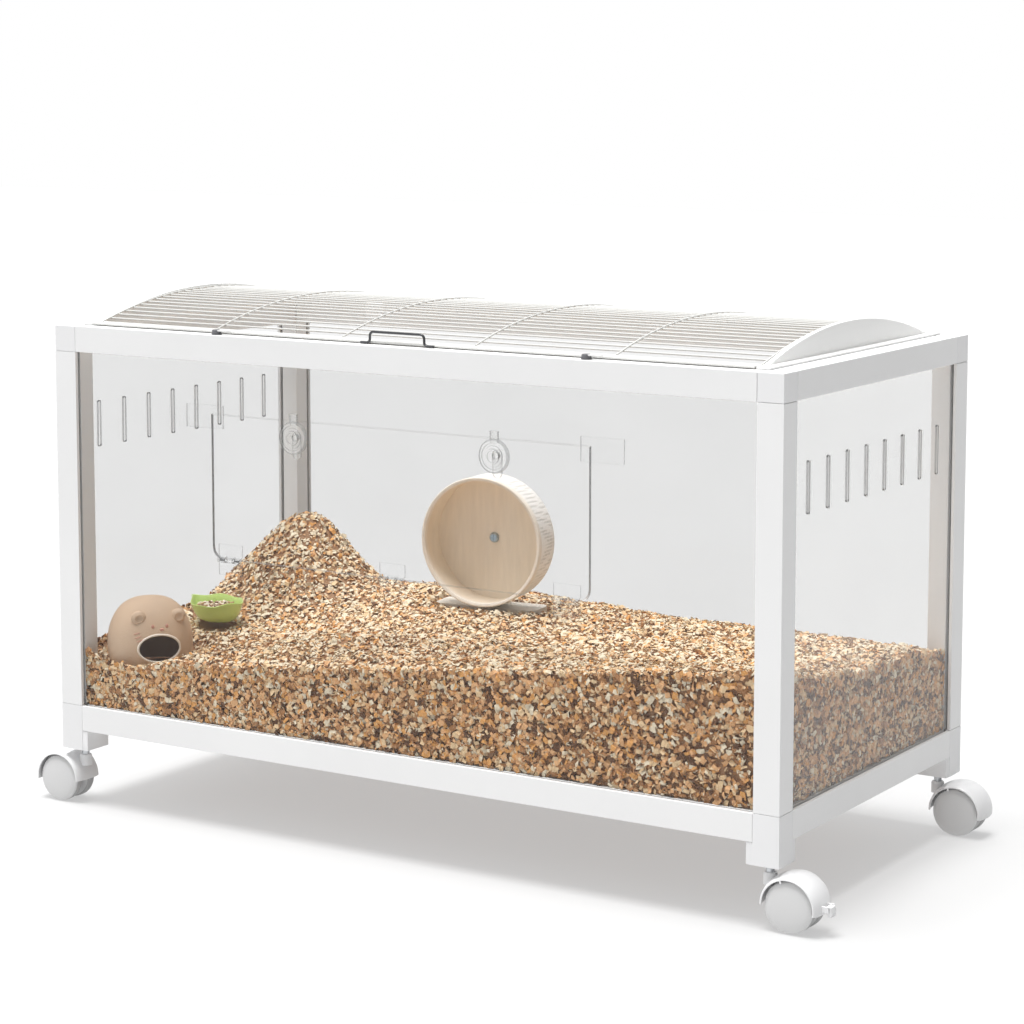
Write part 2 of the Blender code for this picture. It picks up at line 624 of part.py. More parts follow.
def brake_lever():
    """Lever with its pin, about the pin's axis."""
    outline = arc((0, 0), 0.0028, 100, 235, 6)
    outline += [(0.0010, -0.0080), (0.0052, -0.0088), (0.0060, -0.0040), (0.0050, 0.0022)]
    bm = move(plate(outline, [], 0.0112), standing("XZ", -0.0056))
    return combined("brake_lever", bm, ("UNION", rod(0.0014, 0.0168, 10, (0, -0.0084, 0), "Y")))


def add_casters(white, grey):
    plain, braked, wheels, lever = caster_body(False), caster_body(True), wheel_pair(), brake_lever()
    for name, heading in CASTERS.items():
        sx, sy = CORNERS[name]
        edge_y = Y_FRONT if sy < 0 else Y_BACK
        pivot = Vector((sx * (WIDTH / 2 - FOOT / 2), edge_y - sy * FOOT / 2, 0))
        turn = math.radians(heading)
        swivel = axis_empty("caster_%s_swivel" % name, pivot)
        add("caster_%s_body" % name, braked if name in BRAKED else plain, white, pivot, turn, swivel)
        ahead = Vector((math.cos(turn), math.sin(turn), 0))
        axle = pivot + ahead * TRAIL + Vector((0, 0, AXLE_Z))
        add("caster_%s_wheels" % name, wheels, grey, axle, turn, swivel)
        if name in BRAKED:
            hinge = pivot + ahead * LEVER_PIVOT[0] + Vector((0, 0, LEVER_PIVOT[1]))
            add("caster_%s_brake_lever" % name, lever, white, hinge, turn, swivel)


# ---------------------------------------------------------------- running wheel
def add_running_wheel(wood, steel):
    """Open drum on an axle bolt, with a stand that turns its face a little to the right."""
    wall, disc = 0.0040, 0.0040
    lying = Matrix.Rotation(-math.pi / 2, 4, "X")       # turned z becomes depth behind the rim
    drum = [(0.0042, DRUM_DEPTH - disc), (DRUM_RADIUS - wall, DRUM_DEPTH - disc), (DRUM_RADIUS - wall, 0),
            (DRUM_RADIUS, 0), (DRUM_RADIUS, DRUM_DEPTH), (0.0042, DRUM_DEPTH)]
    add("running_wheel", move(turned(drum, 36), lying), wood, DRUM_FRONT, DRUM_TURN)
    head_z = DRUM_DEPTH - disc - GAP
    back = DRUM_DEPTH + 0.0145
    bolt = [(0, head_z - 0.0030), (0.0050, head_z - 0.0030), (0.0065, head_z - 0.0010), (0.0065, head_z),
            (0.0037, head_z), (0.0037, back), (0, back)]
    add("wheel_axle_bolt", move(turned(bolt, 12), lying), steel, DRUM_FRONT, DRUM_TURN)
    drop = STAND_BASE - DRUM_FRONT.z
    front = DRUM_DEPTH + 0.0035
    base = boxes(((-0.074, 0.019, drop), (0.066, front + 0.014, drop + 0.0075)),
                 ((-0.016, front, drop), (0.016, front + 0.009, 0.018)))
    hole = rod(0.0040, 0.030, 12, (0, front - 0.005, 0), "Y")
    add("wheel_stand", combined("wheel_stand", base, ("DIFFERENCE", hole)), wood, DRUM_FRONT, DRUM_TURN)


# ---------------------------------------------------------------- bowl and house
def leaf_radius(angle):
    """Outline of the leaf bowl as a share of its half size: round, with a pointed tip to the left."""
    tip = math.exp(-((abs(angle) - math.pi) / 0.30) ** 2)
    lobe = 0.04 * math.cos(3 * angle)
    return 1.0 + 0.34 * tip + lobe


def add_bowl(green):
    """Leaf-shaped bowl: an outer skin, a rim and an inner skin, closed at top and bottom."""
    count, half_x, half_y = 24, 0.0380, 0.0300
    rings = ((0.55, 0.0), (0.86, 0.010), (1.00, 0.027), (0.93, 0.027), (0.78, 0.011), (0.48, 0.0035))
    bm = bmesh.new()
    rows = []
    for share, z in rings:
        row = []
        for n in range(count):
            angle = 2 * math.pi * n / count - math.pi
            reach = share * (1 + (leaf_radius(angle) - 1) * share)
            row.append(bm.verts.new((half_x * reach * math.cos(angle), half_y * reach * math.sin(angle), z)))
        rows.append(row)
    for low, high in zip(rows, rows[1:]):
        for n in range(count):
            m = (n + 1) % count
            bm.faces.new((low[n], low[m], high[m], high[n]))
    bm.faces.new(rows[0][::-1])
    bm.faces.new(rows[-1])
    bmesh.ops.recalc_face_normals(bm, faces=bm.faces[:])
    add("food_bowl", bm, green, BOWL_CENTRE, BOWL_TURN)


def egg(half_x, half_y, height, low, steps, rows):
    """Rounded block from z = low, closed flat below, as the house's outer or inner form."""
    bm = bmesh.new()
    rings = []
    for row in range(rows):
        rise = math.radians(-28 + 108 * row / (rows - 1))
        share = math.copysign(abs(math.cos(rise)) ** 0.75, math.cos(rise))
        z = low + height * (math.sin(rise) + math.sin(math.radians(28))) / (1 + math.sin(math.radians(28)))
        ring = []
        for n in range(steps):
            angle = 2 * math.pi * n / steps
            bulge = (abs(math.cos(angle)) ** 2.4 + abs(math.sin(angle)) ** 2.4) ** (-1 / 2.4)
            ring.append(bm.verts.new((half_x * share * bulge * math.cos(angle),
                                      half_y * share * bulge * math.sin(angle), z)))
        rings.append(ring)
    for low_ring, high_ring in zip(rings, rings[1:]):
        for n in range(steps):
            m = (n + 1) % steps
            bm.faces.new((low_ring[n], low_ring[m], high_ring[m], high_ring[n]))
    bm.faces.new(rings[0][::-1])
    bm.faces.new(rings[-1])
    bmesh.ops.recalc_face_normals(bm, faces=bm.faces[:])
    return bm


def add_house(clay):
    """Hollow rounded hide, open below, with an oval doorway in front and two small ears."""
    wall = 0.005
    outer = egg(*HOUSE_HALF, HOUSE_HEIGHT, 0.0, 24, 9)
    inner = egg(HOUSE_HALF[0] - wall, HOUSE_HALF[1] - wall, HOUSE_HEIGHT - wall, -0.0005, 20, 8)
    doorway = move(rod(1.0, 1.0, 18), Matrix.Translation((0.005, -0.030, 0.0275))
                   @ Matrix.Rotation(math.pi / 2, 4, "X") @ Matrix.Diagonal((0.0255, 0.0165, 0.030, 1)))
    steps = [("DIFFERENCE", inner)]
    for x, y in ((-0.019, -0.0325), (0.031, -0.0285)):
        spot = Matrix.Translation((x, y, 0.065)) @ Matrix.Rotation(math.pi / 2, 4, "X")
        ear = move(rod(0.0085, 0.009, 12), spot)
        steps.append(("UNION", ear))
    steps.append(("DIFFERENCE", doorway))
    add("bear_house", combined("bear_house", outer, *steps), clay, HOUSE_CENTRE, HOUSE_TURN)


# ---------------------------------------------------------------- bedding
def bump(x, y, centre, spread):
    """Smooth hill of height 1 about a centre."""
    return math.exp(-((x - centre[0]) / spread[0]) ** 2 - ((y - centre[1]) / spread[1]) ** 2)


def bed_height(x, y):
    """Level of the loose bedding: it rises to the right, with a mound at the back left and flat pads."""
    back = y - Y_MID
    front_level = 0.195 + 0.107 * max(0.0, x + 0.285) - 0.012 * bump(x, 0, (-0.385, 0), (0.055, 1))
    front_level += 0.014 * bump(x, 0, (-0.495, 0), (0.035, 1))
    right = min(1.0, max(0.0, (x + 0.30) / 0.14))
    ridge = 0.208 + 0.028 * right + 0.008 * bump(x, 0, (-0.06, 0), (0.13, 1))
    share = 1 - (1 - min(1.0, max(0.0, (back + 0.234) / 0.334))) ** 1.8
    level = front_level + (ridge - front_level) * share
    level -= 0.020 * max(0.0, (back - 0.10) / 0.134) ** 2
    level += 0.116 * bump(x, back, (-0.390, 0.130), (0.100 if x < -0.390 else 0.085, 0.075))
    level += 0.018 * bump(x, back, (-0.21, 0.12), (0.11, 0.09))
    pads = ((DRUM_FRONT.x - 0.010, DRUM_FRONT.y + 0.041, 0.112, 0.062, STAND_BASE),
            (BOWL_CENTRE.x, BOWL_CENTRE.y, 0.074, 0.064, BOWL_CENTRE.z),
            (HOUSE_CENTRE.x, HOUSE_CENTRE.y, 0.084, 0.084, HOUSE_CENTRE.z))
    for pad_x, pad_y, half_x, half_y, pad_z in pads:
        if abs(x - pad_x) < half_x and abs(y - pad_y) < half_y:
            level = min(level, pad_z - 2 * GAP)
    return level


def add_bedding(shavings):
    """Loose fill: it reaches the panels above the rails and fits between the rails below."""
    clear = 0.0006
    wide, deep = WIDTH / 2 - RECESS - SHEET - clear, DEPTH / 2 - RECESS - SHEET - clear
    inner_x, inner_y = WIDTH / 2 - RAIL - clear, DEPTH / 2 - RAIL - clear
    across = [-inner_x + 2 * inner_x * n / 30 for n in range(31)]
    along = [Y_MID - inner_y + 2 * inner_y * n / 14 for n in range(15)]
    xs = [-wide] + across + [wide]
    ys = [Y_MID - deep] + along + [Y_MID + deep]
    shelf = RAIL_BASE + RAIL + clear

    def filled(i, j, k):
        side = i in (0, len(xs) - 2)
        end = j in (0, len(ys) - 2)
        return not (side and end) and (k == 1 or not (side or end))

    def place(x, y, level):
        return (x, y, (BED_BASE, shelf, bed_height(x, y))[level])

    bm = cell_solid(xs, ys, (0, 1, 2), filled, place)
    flat = [edge for edge in bm.edges if all(vert.co.z < shelf + clear for vert in edge.verts)]
    verts = [vert for vert in bm.verts if vert.co.z < shelf + clear]
    bmesh.ops.dissolve_limit(bm, angle_limit=0.001, verts=verts, edges=flat)
    add("bedding", bm, shavings)


# ---------------------------------------------------------------- assembly
def main():
    for existing in list(bpy.data.objects):
        bpy.data.objects.remove(existing)
    white = material("white_frame", (0.86, 0.86, 0.86), 0.42)
    connector = material("white_connector", (0.85, 0.85, 0.86), 0.48)
    clear = material("clear_acrylic", (0.90, 0.93, 0.94), 0.05, alpha=0.2)
    mesh_white = material("white_wire", (0.84, 0.84, 0.82), 0.38)
    dark = material("dark_wire", (0.05, 0.05, 0.055), 0.35, metallic=0.6)
    grey = material("grey_plastic", (0.66, 0.66, 0.66), 0.45)
    steel = material("zinc_bolt", (0.58, 0.62, 0.65), 0.30, metallic=1.0)
    wood = material("pale_wood", (0.66, 0.50, 0.33), 0.60)
    green = material("leaf_green", (0.36, 0.56, 0.12), 0.35)
    clay = material("sand_ceramic", (0.56, 0.41, 0.28), 0.70)
    shavings = material("wood_shavings", (0.56, 0.36, 0.20), 0.85)
    add_frame(white, connector)
    add_panels(clear)
    add_door(clear)
    add_lid(mesh_white, white, dark, grey)
    add_casters(connector, grey)
    add_running_wheel(wood, steel)
    add_bowl(green)
    add_house(clay)
    add_bedding(shavings)


main()
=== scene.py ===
"""Looks of the hamster cage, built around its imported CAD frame.

Metres, in the frame's axes: +X to the right along the front, +Y to the back, +Z up.
Every piece is modelled at rest, in place, and rides on the CAD body that it belongs to.
"""
import json
from math import asin, copysign, cos, degrees, exp, hypot, pi, radians, sin, sqrt

import bmesh
import bpy
import numpy as np
from mathutils import Matrix, Vector, noise


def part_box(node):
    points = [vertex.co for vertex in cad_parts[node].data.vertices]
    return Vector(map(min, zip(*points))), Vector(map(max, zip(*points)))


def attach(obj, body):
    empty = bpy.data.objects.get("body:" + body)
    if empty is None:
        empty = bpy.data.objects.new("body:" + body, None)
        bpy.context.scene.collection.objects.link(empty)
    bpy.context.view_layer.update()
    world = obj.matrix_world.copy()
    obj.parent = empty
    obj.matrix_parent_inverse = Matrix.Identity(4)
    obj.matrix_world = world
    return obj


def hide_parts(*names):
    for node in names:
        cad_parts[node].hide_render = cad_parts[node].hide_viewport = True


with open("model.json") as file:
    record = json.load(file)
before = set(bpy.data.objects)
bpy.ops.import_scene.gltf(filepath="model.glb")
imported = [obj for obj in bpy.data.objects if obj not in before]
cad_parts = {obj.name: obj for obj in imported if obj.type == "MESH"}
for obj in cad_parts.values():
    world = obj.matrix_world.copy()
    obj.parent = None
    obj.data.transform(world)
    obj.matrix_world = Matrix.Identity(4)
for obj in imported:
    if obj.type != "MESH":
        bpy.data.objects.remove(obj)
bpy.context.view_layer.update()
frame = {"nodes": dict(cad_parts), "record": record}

# Sizes that the CAD model shares, read from its nodes
FRONT_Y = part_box("front_top_rail")[0][1]
BACK_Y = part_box("back_top_rail")[1][1]
MID_Y = (FRONT_Y + BACK_Y) / 2
RIM_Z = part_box("front_top_rail")[1][2]
SHELF_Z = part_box("front_bottom_rail")[1][2]
PANEL_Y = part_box("front_panel")[0][1]
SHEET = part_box("front_panel")[1][1] - PANEL_Y
BED_LOW, BED_HIGH = (Vector(corner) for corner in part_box("bedding"))

# Lid
LID_Z = RIM_Z + 0.0025              # level of the mesh at its front and back edges
ARCH_HALF, ARCH_RISE = 0.205, 0.0285
MESH_HALF = 0.456
WIRE_COUNT = 29
WIRE_RADIUS = 0.0011
ROD_RADIUS = 0.0015
ROD_OUT = 0.0195                    # border rod's axis beyond the foot of the arch
ARCH_X = (-0.4549, -0.276, -0.092, 0.092, 0.276, 0.4549)
CLIP_X = (-0.34, 0.34)

# Casters
WHEEL_TRAIL = 0.03                  # wheel's axle behind the stem
WHEEL_Z = 0.02875
CASTER_HEADING = {"front_left": 180, "front_right": 0, "back_left": 180, "back_right": 0}
BRAKED = ("front_right", "back_left")

# Furnishings
DRUM_FRONT = Vector((-0.054, 0.031, 0.331))         # middle of the drum's open side
DRUM_TURN = radians(7)
DRUM_RADIUS, DRUM_DEPTH = 0.0815, 0.046
STAND_Z = 0.239
BOWL_CENTRE, BOWL_TURN = Vector((-0.402, -0.052, 0.21)), radians(-12)
HOUSE_CENTRE, HOUSE_TURN = Vector((-0.4145, -0.1725, 0.174)), radians(48)
HOUSE_HALF, HOUSE_HEIGHT, HOUSE_WALL = (0.053, 0.045), 0.086, 0.005
HOUSE_CURVE = 2.4                   # exponent of the house's rounded-square plan
HOUSE_TUCK = radians(28)       # how far its skin turns in under its widest level

# Bedding
LINING = 0.0048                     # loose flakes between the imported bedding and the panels
SINK = 0.001                        # furnishings' feet in the bedding
HOLLOWS = (                         # (centre, half x, half y, turn, level) under each furnishing
    ((-0.063, 0.072), 0.08, 0.034, DRUM_TURN, STAND_Z - SINK),
    (BOWL_CENTRE, 0.028, 0.023, BOWL_TURN, BOWL_CENTRE.z - SINK),
    (HOUSE_CENTRE, 0.055, 0.047, HOUSE_TURN, HOUSE_CENTRE.z - SINK),
)
BANK = 0.6                          # width of the bank round a hollow, in half sizes
BANK_RISE = 0.03

# Stage
FLOOR_HALF, FLOOR_LEVEL = 12.0, -0.0005
SUN_PLACE, SUN_TARGET = Vector((-0.3, -0.35, 3.4)), Vector((0, 0, 0.3))
SUN_ENERGY, SUN_SPREAD = 4.3, radians(30)
CAMERA_PLACE = (1.7986, -2.8465, 0.9326)
CAMERA_TILT, CAMERA_HEADING = radians(90 - 6.83), radians(32.109)
CAMERA_LENS, CAMERA_SHIFT = 98.3, -0.12

UPENDED = Matrix.Rotation(pi / 2, 4, "X")      # turns +Z to the front


# ---------------- materials
def mapped(tree, value, start, end, low, high):
    """A value from start to end, mapped to low and high."""
    made = tree.nodes.new("ShaderNodeMapRange")
    for socket, limit in (("From Min", start), ("From Max", end), ("To Min", low), ("To Max", high)):
        made.inputs[socket].default_value = limit
    tree.links.new(value, made.inputs["Value"])
    return made.outputs["Result"]


class Look:
    """Node material with one Principled shader and textures in object space."""

    def __init__(self, name, colour, roughness, **values):
        self.material = bpy.data.materials.new(name)
        self.material.use_nodes = True
        self.tree = self.material.node_tree
        self.shader = self.tree.nodes["Principled BSDF"]
        self.shader.inputs["Base Color"].default_value = (*colour, 1.0)
        self.shader.inputs["Roughness"].default_value = roughness
        for socket, value in values.items():
            self.shader.inputs[socket.replace("_", " ")].default_value = value
        self.place = self.node("ShaderNodeTexCoord").outputs["Object"]

    def node(self, kind, **settings):
        made = self.tree.nodes.new(kind)
        for key, value in settings.items():
            setattr(made, key, value)
        return made

    def link(self, source, target):
        self.tree.links.new(source, target)

    def stretched(self, stretch, turn=(0, 0, 0)):
        mapping = self.node("ShaderNodeMapping")
        mapping.inputs["Scale"].default_value = stretch
        mapping.inputs["Rotation"].default_value = turn
        self.link(self.place, mapping.inputs["Vector"])
        return mapping.outputs["Vector"]

    def noise(self, scale, stretch=(1, 1, 1), detail=3.0, distortion=0.0, turn=(0, 0, 0)):
        texture = self.node("ShaderNodeTexNoise")
        self.link(self.stretched(stretch, turn), texture.inputs["Vector"])
        texture.inputs["Scale"].default_value = scale
        texture.inputs["Detail"].default_value = detail
        texture.inputs["Distortion"].default_value = distortion
        return texture.outputs["Fac"]

    def cells(self, scale, feature="F1", stretch=(1, 1, 1), jitter=1.0):
        texture = self.node("ShaderNodeTexVoronoi", feature=feature)
        self.link(self.stretched(stretch), texture.inputs["Vector"])
        texture.inputs["Scale"].default_value = scale
        texture.inputs["Randomness"].default_value = jitter
        return texture.outputs["Distance"]

    def ramp(self, factor, *stops):
        """Colours along factor; each stop is (position, colour or grey)."""
        made = self.node("ShaderNodeValToRGB")
        elements = made.color_ramp.elements
        while len(elements) < len(stops):
            elements.new(1.0)
        for element, (position, colour) in zip(elements, stops):
            element.position = position
            shade = colour if isinstance(colour, tuple) else (colour, colour, colour)
            element.color = (*shade, 1.0)
        self.link(factor, made.inputs["Fac"])
        return made.outputs["Color"]

    def scaled(self, factor, low, high, start=0.0, end=1.0):
        return mapped(self.tree, factor, start, end, low, high)

    def times(self, first, second):
        """Product of two colours."""
        made = self.node("ShaderNodeMix", data_type="RGBA", blend_type="MULTIPLY")
        made.inputs["Factor"].default_value = 1.0
        self.link(first, made.inputs["A"])
        self.link(second, made.inputs["B"])
        return made.outputs["Result"]

    def paint(self, colour):
        self.link(colour, self.shader.inputs["Base Color"])
        return self

    def roughen(self, factor, low, high):
        self.link(self.scaled(factor, low, high), self.shader.inputs["Roughness"])
        return self

    def bump(self, height, strength, distance):
        made = self.node("ShaderNodeBump")
        made.inputs["Strength"].default_value = strength
        made.inputs["Distance"].default_value = distance
        self.link(height, made.inputs["Height"])
        if self.shader.inputs["Normal"].is_linked:
            self.link(self.shader.inputs["Normal"].links[0].from_socket, made.inputs["Normal"])
        self.link(made.outputs["Normal"], self.shader.inputs["Normal"])
        return self


def coated(name, colour, roughness, grain, **values):
    """Painted or moulded surface: faint cloudy tone, fine texture and uneven gloss."""
    look = Look(name, colour, roughness, **values)
    cloud = look.noise(7.0, detail=4.0)
    low = tuple(0.965 * part for part in colour)
    look.paint(look.ramp(cloud, (0.3, low), (0.7, colour)))
    look.roughen(look.noise(60.0), roughness - 0.05, roughness + 0.05)
    return look.bump(look.noise(grain, detail=2.0), 0.12, 0.0002)


def clear(name, colour, low, high, roughness=0.06):
    """Clear acrylic sheet: a thin even veil with very faint waves in it."""
    look = Look(name, colour, roughness, IOR=1.49, Specular_IOR_Level=0.5)
    haze = look.noise(5.0, stretch=(1, 1, 1.6), detail=2.0)
    look.link(look.scaled(haze, low, high, 0.3, 0.7), look.shader.inputs["Alpha"])
    return look.bump(look.noise(16.0, detail=1.0), 0.05, 0.001)


def timber(name, light, dark, along=(1, 1, 1), scale=22.0, roughness=0.58):
    """Sanded pale wood: fine streaks along the grain and a few broad growth bands."""
    look = Look(name, light, roughness)
    streaks = look.noise(scale * 9, stretch=along, detail=5.0)
    bands = look.noise(scale, stretch=along, detail=2.0, distortion=0.8)
    fine = look.ramp(streaks, (0.25, 0.9), (0.75, 1.0))
    look.paint(look.times(look.ramp(bands, (0.3, dark), (0.72, light)), fine))
    look.roughen(streaks, roughness - 0.08, roughness + 0.1)
    return look.bump(streaks, 0.1, 0.0004)


def shaving(name, colour):
    """Wood flake: its tone wanders from flake to flake and along its fibres."""
    look = Look(name, colour, 0.78)
    wander = look.noise(130.0, detail=2.0)
    fibres = look.noise(900.0, stretch=(1, 1, 0.35), detail=3.0)
    deep = tuple(0.84 * part for part in colour)
    tone = look.ramp(wander, (0.28, deep), (0.68, colour))
    look.paint(look.times(tone, look.ramp(fibres, (0.3, 0.9), (0.7, 1.0))))
    return look.bump(fibres, 0.25, 0.0003)


def perforated(name, pale, dot):
    """Pale sleeve with rows of small round holes, drawn as bumps with painted shade in each."""
    look = Look(name, pale, 0.55)
    spots = look.cells(230.0, jitter=0.15)
    # each hole is a darker spot: painted shade inside the hole
    look.paint(look.ramp(spots, (0.3, dot), (0.42, pale)))
    look.roughen(look.noise(80.0), 0.48, 0.62)
    return look.bump(look.ramp(spots, (0.25, 0.0), (0.45, 1.0)), 0.5, 0.0006)


def zinc(name, colour, roughness):
    """Zinc-plated steel: small mottled crystals and uneven gloss."""
    look = Look(name, colour, roughness, Metallic=1.0)
    crystals = look.cells(420.0)
    low = tuple(0.8 * part for part in colour)
    look.paint(look.ramp(crystals, (0.1, low), (0.8, colour)))
    look.roughen(look.noise(240.0), roughness - 0.06, roughness + 0.1)
    return look.bump(look.noise(700.0), 0.15, 0.0003)


def fired_clay(name, colour):
    """Matt ceramic: speckled slip with shallow hand-smoothed strokes."""
    look = Look(name, colour, 0.72)
    cloud = look.noise(26.0, detail=4.0)
    speckle = look.noise(850.0, detail=2.0)
    light = tuple(min(1.0, 1.1 * part) for part in colour)
    tone = look.ramp(cloud, (0.3, colour), (0.7, light))
    look.paint(look.times(tone, look.ramp(speckle, (0.28, 0.8), (0.42, 1.0))))
    look.roughen(cloud, 0.62, 0.8)
    look.bump(look.noise(120.0, stretch=(1, 1, 3.0)), 0.2, 0.0008)
    return look.bump(speckle, 0.15, 0.0003)


LOOKS = {
    "profile": coated("white_profile", (0.86, 0.86, 0.86), 0.42, 1500.0),
    "connector": coated("white_connector", (0.84, 0.84, 0.845), 0.47, 900.0),
    "sheet": clear("clear_acrylic", (0.12, 0.125, 0.125), 0.092, 0.104),
    # right end panel: a whiter, denser veil that is a painted reflection of light glancing off the sheet
    "sheet_painted_reflection": clear("clear_acrylic_right_painted_reflection", (0.76, 0.765, 0.76), 0.155, 0.175),
    "sheet_edge": clear("clear_acrylic_edge", (0.16, 0.165, 0.165), 0.66, 0.74, 0.15),
    "slot_wall": clear("polished_slot_wall", (0.34, 0.345, 0.345), 0.62, 0.7, 0.15),
    # painted shade: the slots' round end faces are made nearly black
    "slot_end": clear("slot_end_painted_shade", (0.07, 0.07, 0.07), 0.78, 0.86, 0.15),
    # painted highlight: a bright line where light catches the slot rims
    "glint": clear("painted_rim_highlight", (0.95, 0.95, 0.95), 0.8, 0.9, 0.12),
    "fitting": clear("clear_fitting_face", (0.8, 0.81, 0.81), 0.02, 0.04, 0.1),
    "fitting_edge": clear("clear_fitting_edge", (0.24, 0.25, 0.25), 0.3, 0.38, 0.12),
    "latch": clear("clear_latch_face", (0.88, 0.88, 0.86), 0.13, 0.19, 0.1),
    "latch_edge": clear("clear_latch_edge", (0.24, 0.25, 0.25), 0.38, 0.46, 0.12),
    "lid_white": coated("white_lid", (0.9, 0.9, 0.89), 0.45, 1200.0),
    "wire": coated("white_wire", (0.68, 0.68, 0.66), 0.36, 1800.0, Coat_Weight=0.2),
    "dark": coated("dark_wire", (0.035, 0.036, 0.04), 0.32, 1500.0, Coat_Weight=0.35),
    "button": coated("latch_grey", (0.14, 0.14, 0.15), 0.4, 1100.0),
    "caster_white": coated("caster_white", (0.83, 0.83, 0.835), 0.38, 1000.0),
    "caster_grey": coated("caster_grey", (0.68, 0.68, 0.68), 0.36, 700.0),
    "tread": coated("caster_tread", (0.42, 0.42, 0.42), 0.62, 1300.0),
    "steel": zinc("zinc_stem", (0.62, 0.64, 0.66), 0.3),
    "bolt": zinc("zinc_bolt", (0.42, 0.5, 0.56), 0.28),
    "drum": timber("drum_ply", (0.99, 0.88, 0.73), (0.96, 0.83, 0.67), along=(1, 1, 0.12)),
    "rim": timber("drum_rim", (0.99, 0.93, 0.84), (0.97, 0.88, 0.77), along=(0.5, 4, 0.5)),
    # the darker second colour is the painted shade in the band's holes
    "band": perforated("drum_band", (0.98, 0.95, 0.91), (0.66, 0.63, 0.59)),
    "plate": timber("stand_wood", (0.96, 0.91, 0.82), (0.93, 0.86, 0.76), along=(0.12, 1, 1)),
    "clay": fired_clay("sand_ceramic", (0.66, 0.48, 0.335)),
    "clay_pale": fired_clay("pale_ceramic", (0.9, 0.82, 0.72)),
    "clay_pink": fired_clay("pink_ceramic", (0.62, 0.32, 0.24)),
    "leaf": coated("leaf_green", (0.62, 0.82, 0.24), 0.3, 500.0, Coat_Weight=0.3),
    "seed": shaving("seed_mix", (0.3, 0.17, 0.08)),
    "husk": shaving("seed_husk", (0.66, 0.44, 0.23)),
    "bed": shaving("packed_shavings", (0.4, 0.22, 0.11)),
}
FLAKES = [
    shaving("flake_cream", (0.99, 0.86, 0.64)),
    shaving("flake_pale", (0.97, 0.7, 0.41)),
    shaving("flake_tan", (0.91, 0.52, 0.25)),
    shaving("flake_golden", (0.88, 0.44, 0.14)),
    shaving("flake_brown", (0.48, 0.23, 0.09)),
    # darkest flakes: partly real dark shavings, partly painted shade of the gaps between flakes
    shaving("flake_dark_and_gap_shade", (0.16, 0.07, 0.03)),
]


# ---------------- shape tools
def placed(name, data):
    """A new object in the scene."""
    made = bpy.data.objects.new(name, data)
    bpy.context.collection.objects.link(made)
    return made


def turned(profile, steps=64, start=0.0, sweep=360.0):
    """Solid turned about +Z from a closed profile of (radius, z); angles in degrees."""
    bm = bmesh.new()
    full = sweep >= 360.0
    rings = []
    for step in range(steps if full else steps + 1):
        angle = radians(start + sweep * step / steps)
        ring = []
        for n, (radius, z) in enumerate(profile):
            if radius < 1e-7 and rings:
                ring.append(rings[0][n])
            else:
                ring.append(bm.verts.new((radius * cos(angle), radius * sin(angle), z)))
        rings.append(ring)
    for step in range(steps):
        low, high = rings[step], rings[(step + 1) % len(rings)]
        for n in range(len(profile)):
            m = (n + 1) % len(profile)
            corners = [low[n], high[n], high[m], low[m]]
            corners = [vert for k, vert in enumerate(corners) if vert not in corners[:k]]
            if len(corners) > 2:
                bm.faces.new(corners)
    if not full:
        bm.faces.new(rings[0])
        bm.faces.new(rings[-1][::-1])
    bmesh.ops.recalc_face_normals(bm, faces=bm.faces[:])
    return bm


def slab(outline, thickness):
    """Plate from z = 0 up, over an outline of (x, y)."""
    bm = bmesh.new()
    bm.faces.new([bm.verts.new((x, y, 0)) for x, y in outline])
    grown = bmesh.ops.extrude_face_region(bm, geom=bm.faces[:])
    tops = [item for item in grown["geom"] if isinstance(item, bmesh.types.BMVert)]
    bmesh.ops.translate(bm, vec=(0, 0, thickness), verts=tops)
    bmesh.ops.recalc_face_normals(bm, faces=bm.faces[:])
    return bm


def block(low, high):
    """Box between two corners."""
    size = Vector(high) - Vector(low)
    middle = (Vector(high) + Vector(low)) / 2
    bm = bmesh.new()
    bmesh.ops.create_cube(bm, size=1.0)
    return move(bm, Matrix.Translation(middle) @ Matrix.Diagonal((*size, 1)))


def closed_skin(bm, rings):
    """Faces between rings of vertices, with a cap at each end."""
    for low, high in zip(rings, rings[1:]):
        for n in range(len(low)):
            m = (n + 1) % len(low)
            bm.faces.new((low[n], low[m], high[m], high[n]))
    bm.faces.new(rings[0][::-1])
    bm.faces.new(rings[-1])
    bmesh.ops.recalc_face_normals(bm, faces=bm.faces[:])
    return bm


def tube(points, radius, sides=10):
    """Round wire along a path, its ends rounded over; radius is one value or one for each point."""
    points = [Vector(point) for point in points]
    radii = list(radius) if isinstance(radius, (list, tuple)) else [radius] * len(points)
    heading = (points[1] - points[0]).normalized()
    tail = (points[-1] - points[-2]).normalized()
    path = [points[0] + heading * radii[0] * 0.3] + points[1:-1] + [points[-1] - tail * radii[-1] * 0.3]
    path = [points[0]] + path + [points[-1]]
    sizes = [radii[0] * 0.6] + radii + [radii[-1] * 0.6]
    side = heading.orthogonal().normalized()
    bm = bmesh.new()
    rings = []
    for n, (centre, size) in enumerate(zip(path, sizes)):
        ahead = (path[min(n + 1, len(path) - 1)] - path[max(n - 1, 0)]).normalized()
        side = (side - ahead * side.dot(ahead)).normalized()
        across = ahead.cross(side)
        ring = []
        for k in range(sides):
            angle = 2 * pi * k / sides
            ring.append(bm.verts.new(centre + (side * cos(angle) + across * sin(angle)) * size))
        rings.append(ring)
    return closed_skin(bm, rings)


def ball(centre, half_sizes, steps=24):
    """Ellipsoid about a centre."""
    bm = bmesh.new()
    bmesh.ops.create_uvsphere(bm, u_segments=steps, v_segments=steps // 2, radius=1.0)
    return move(bm, Matrix.Translation(centre) @ Matrix.Diagonal((*half_sizes, 1)))


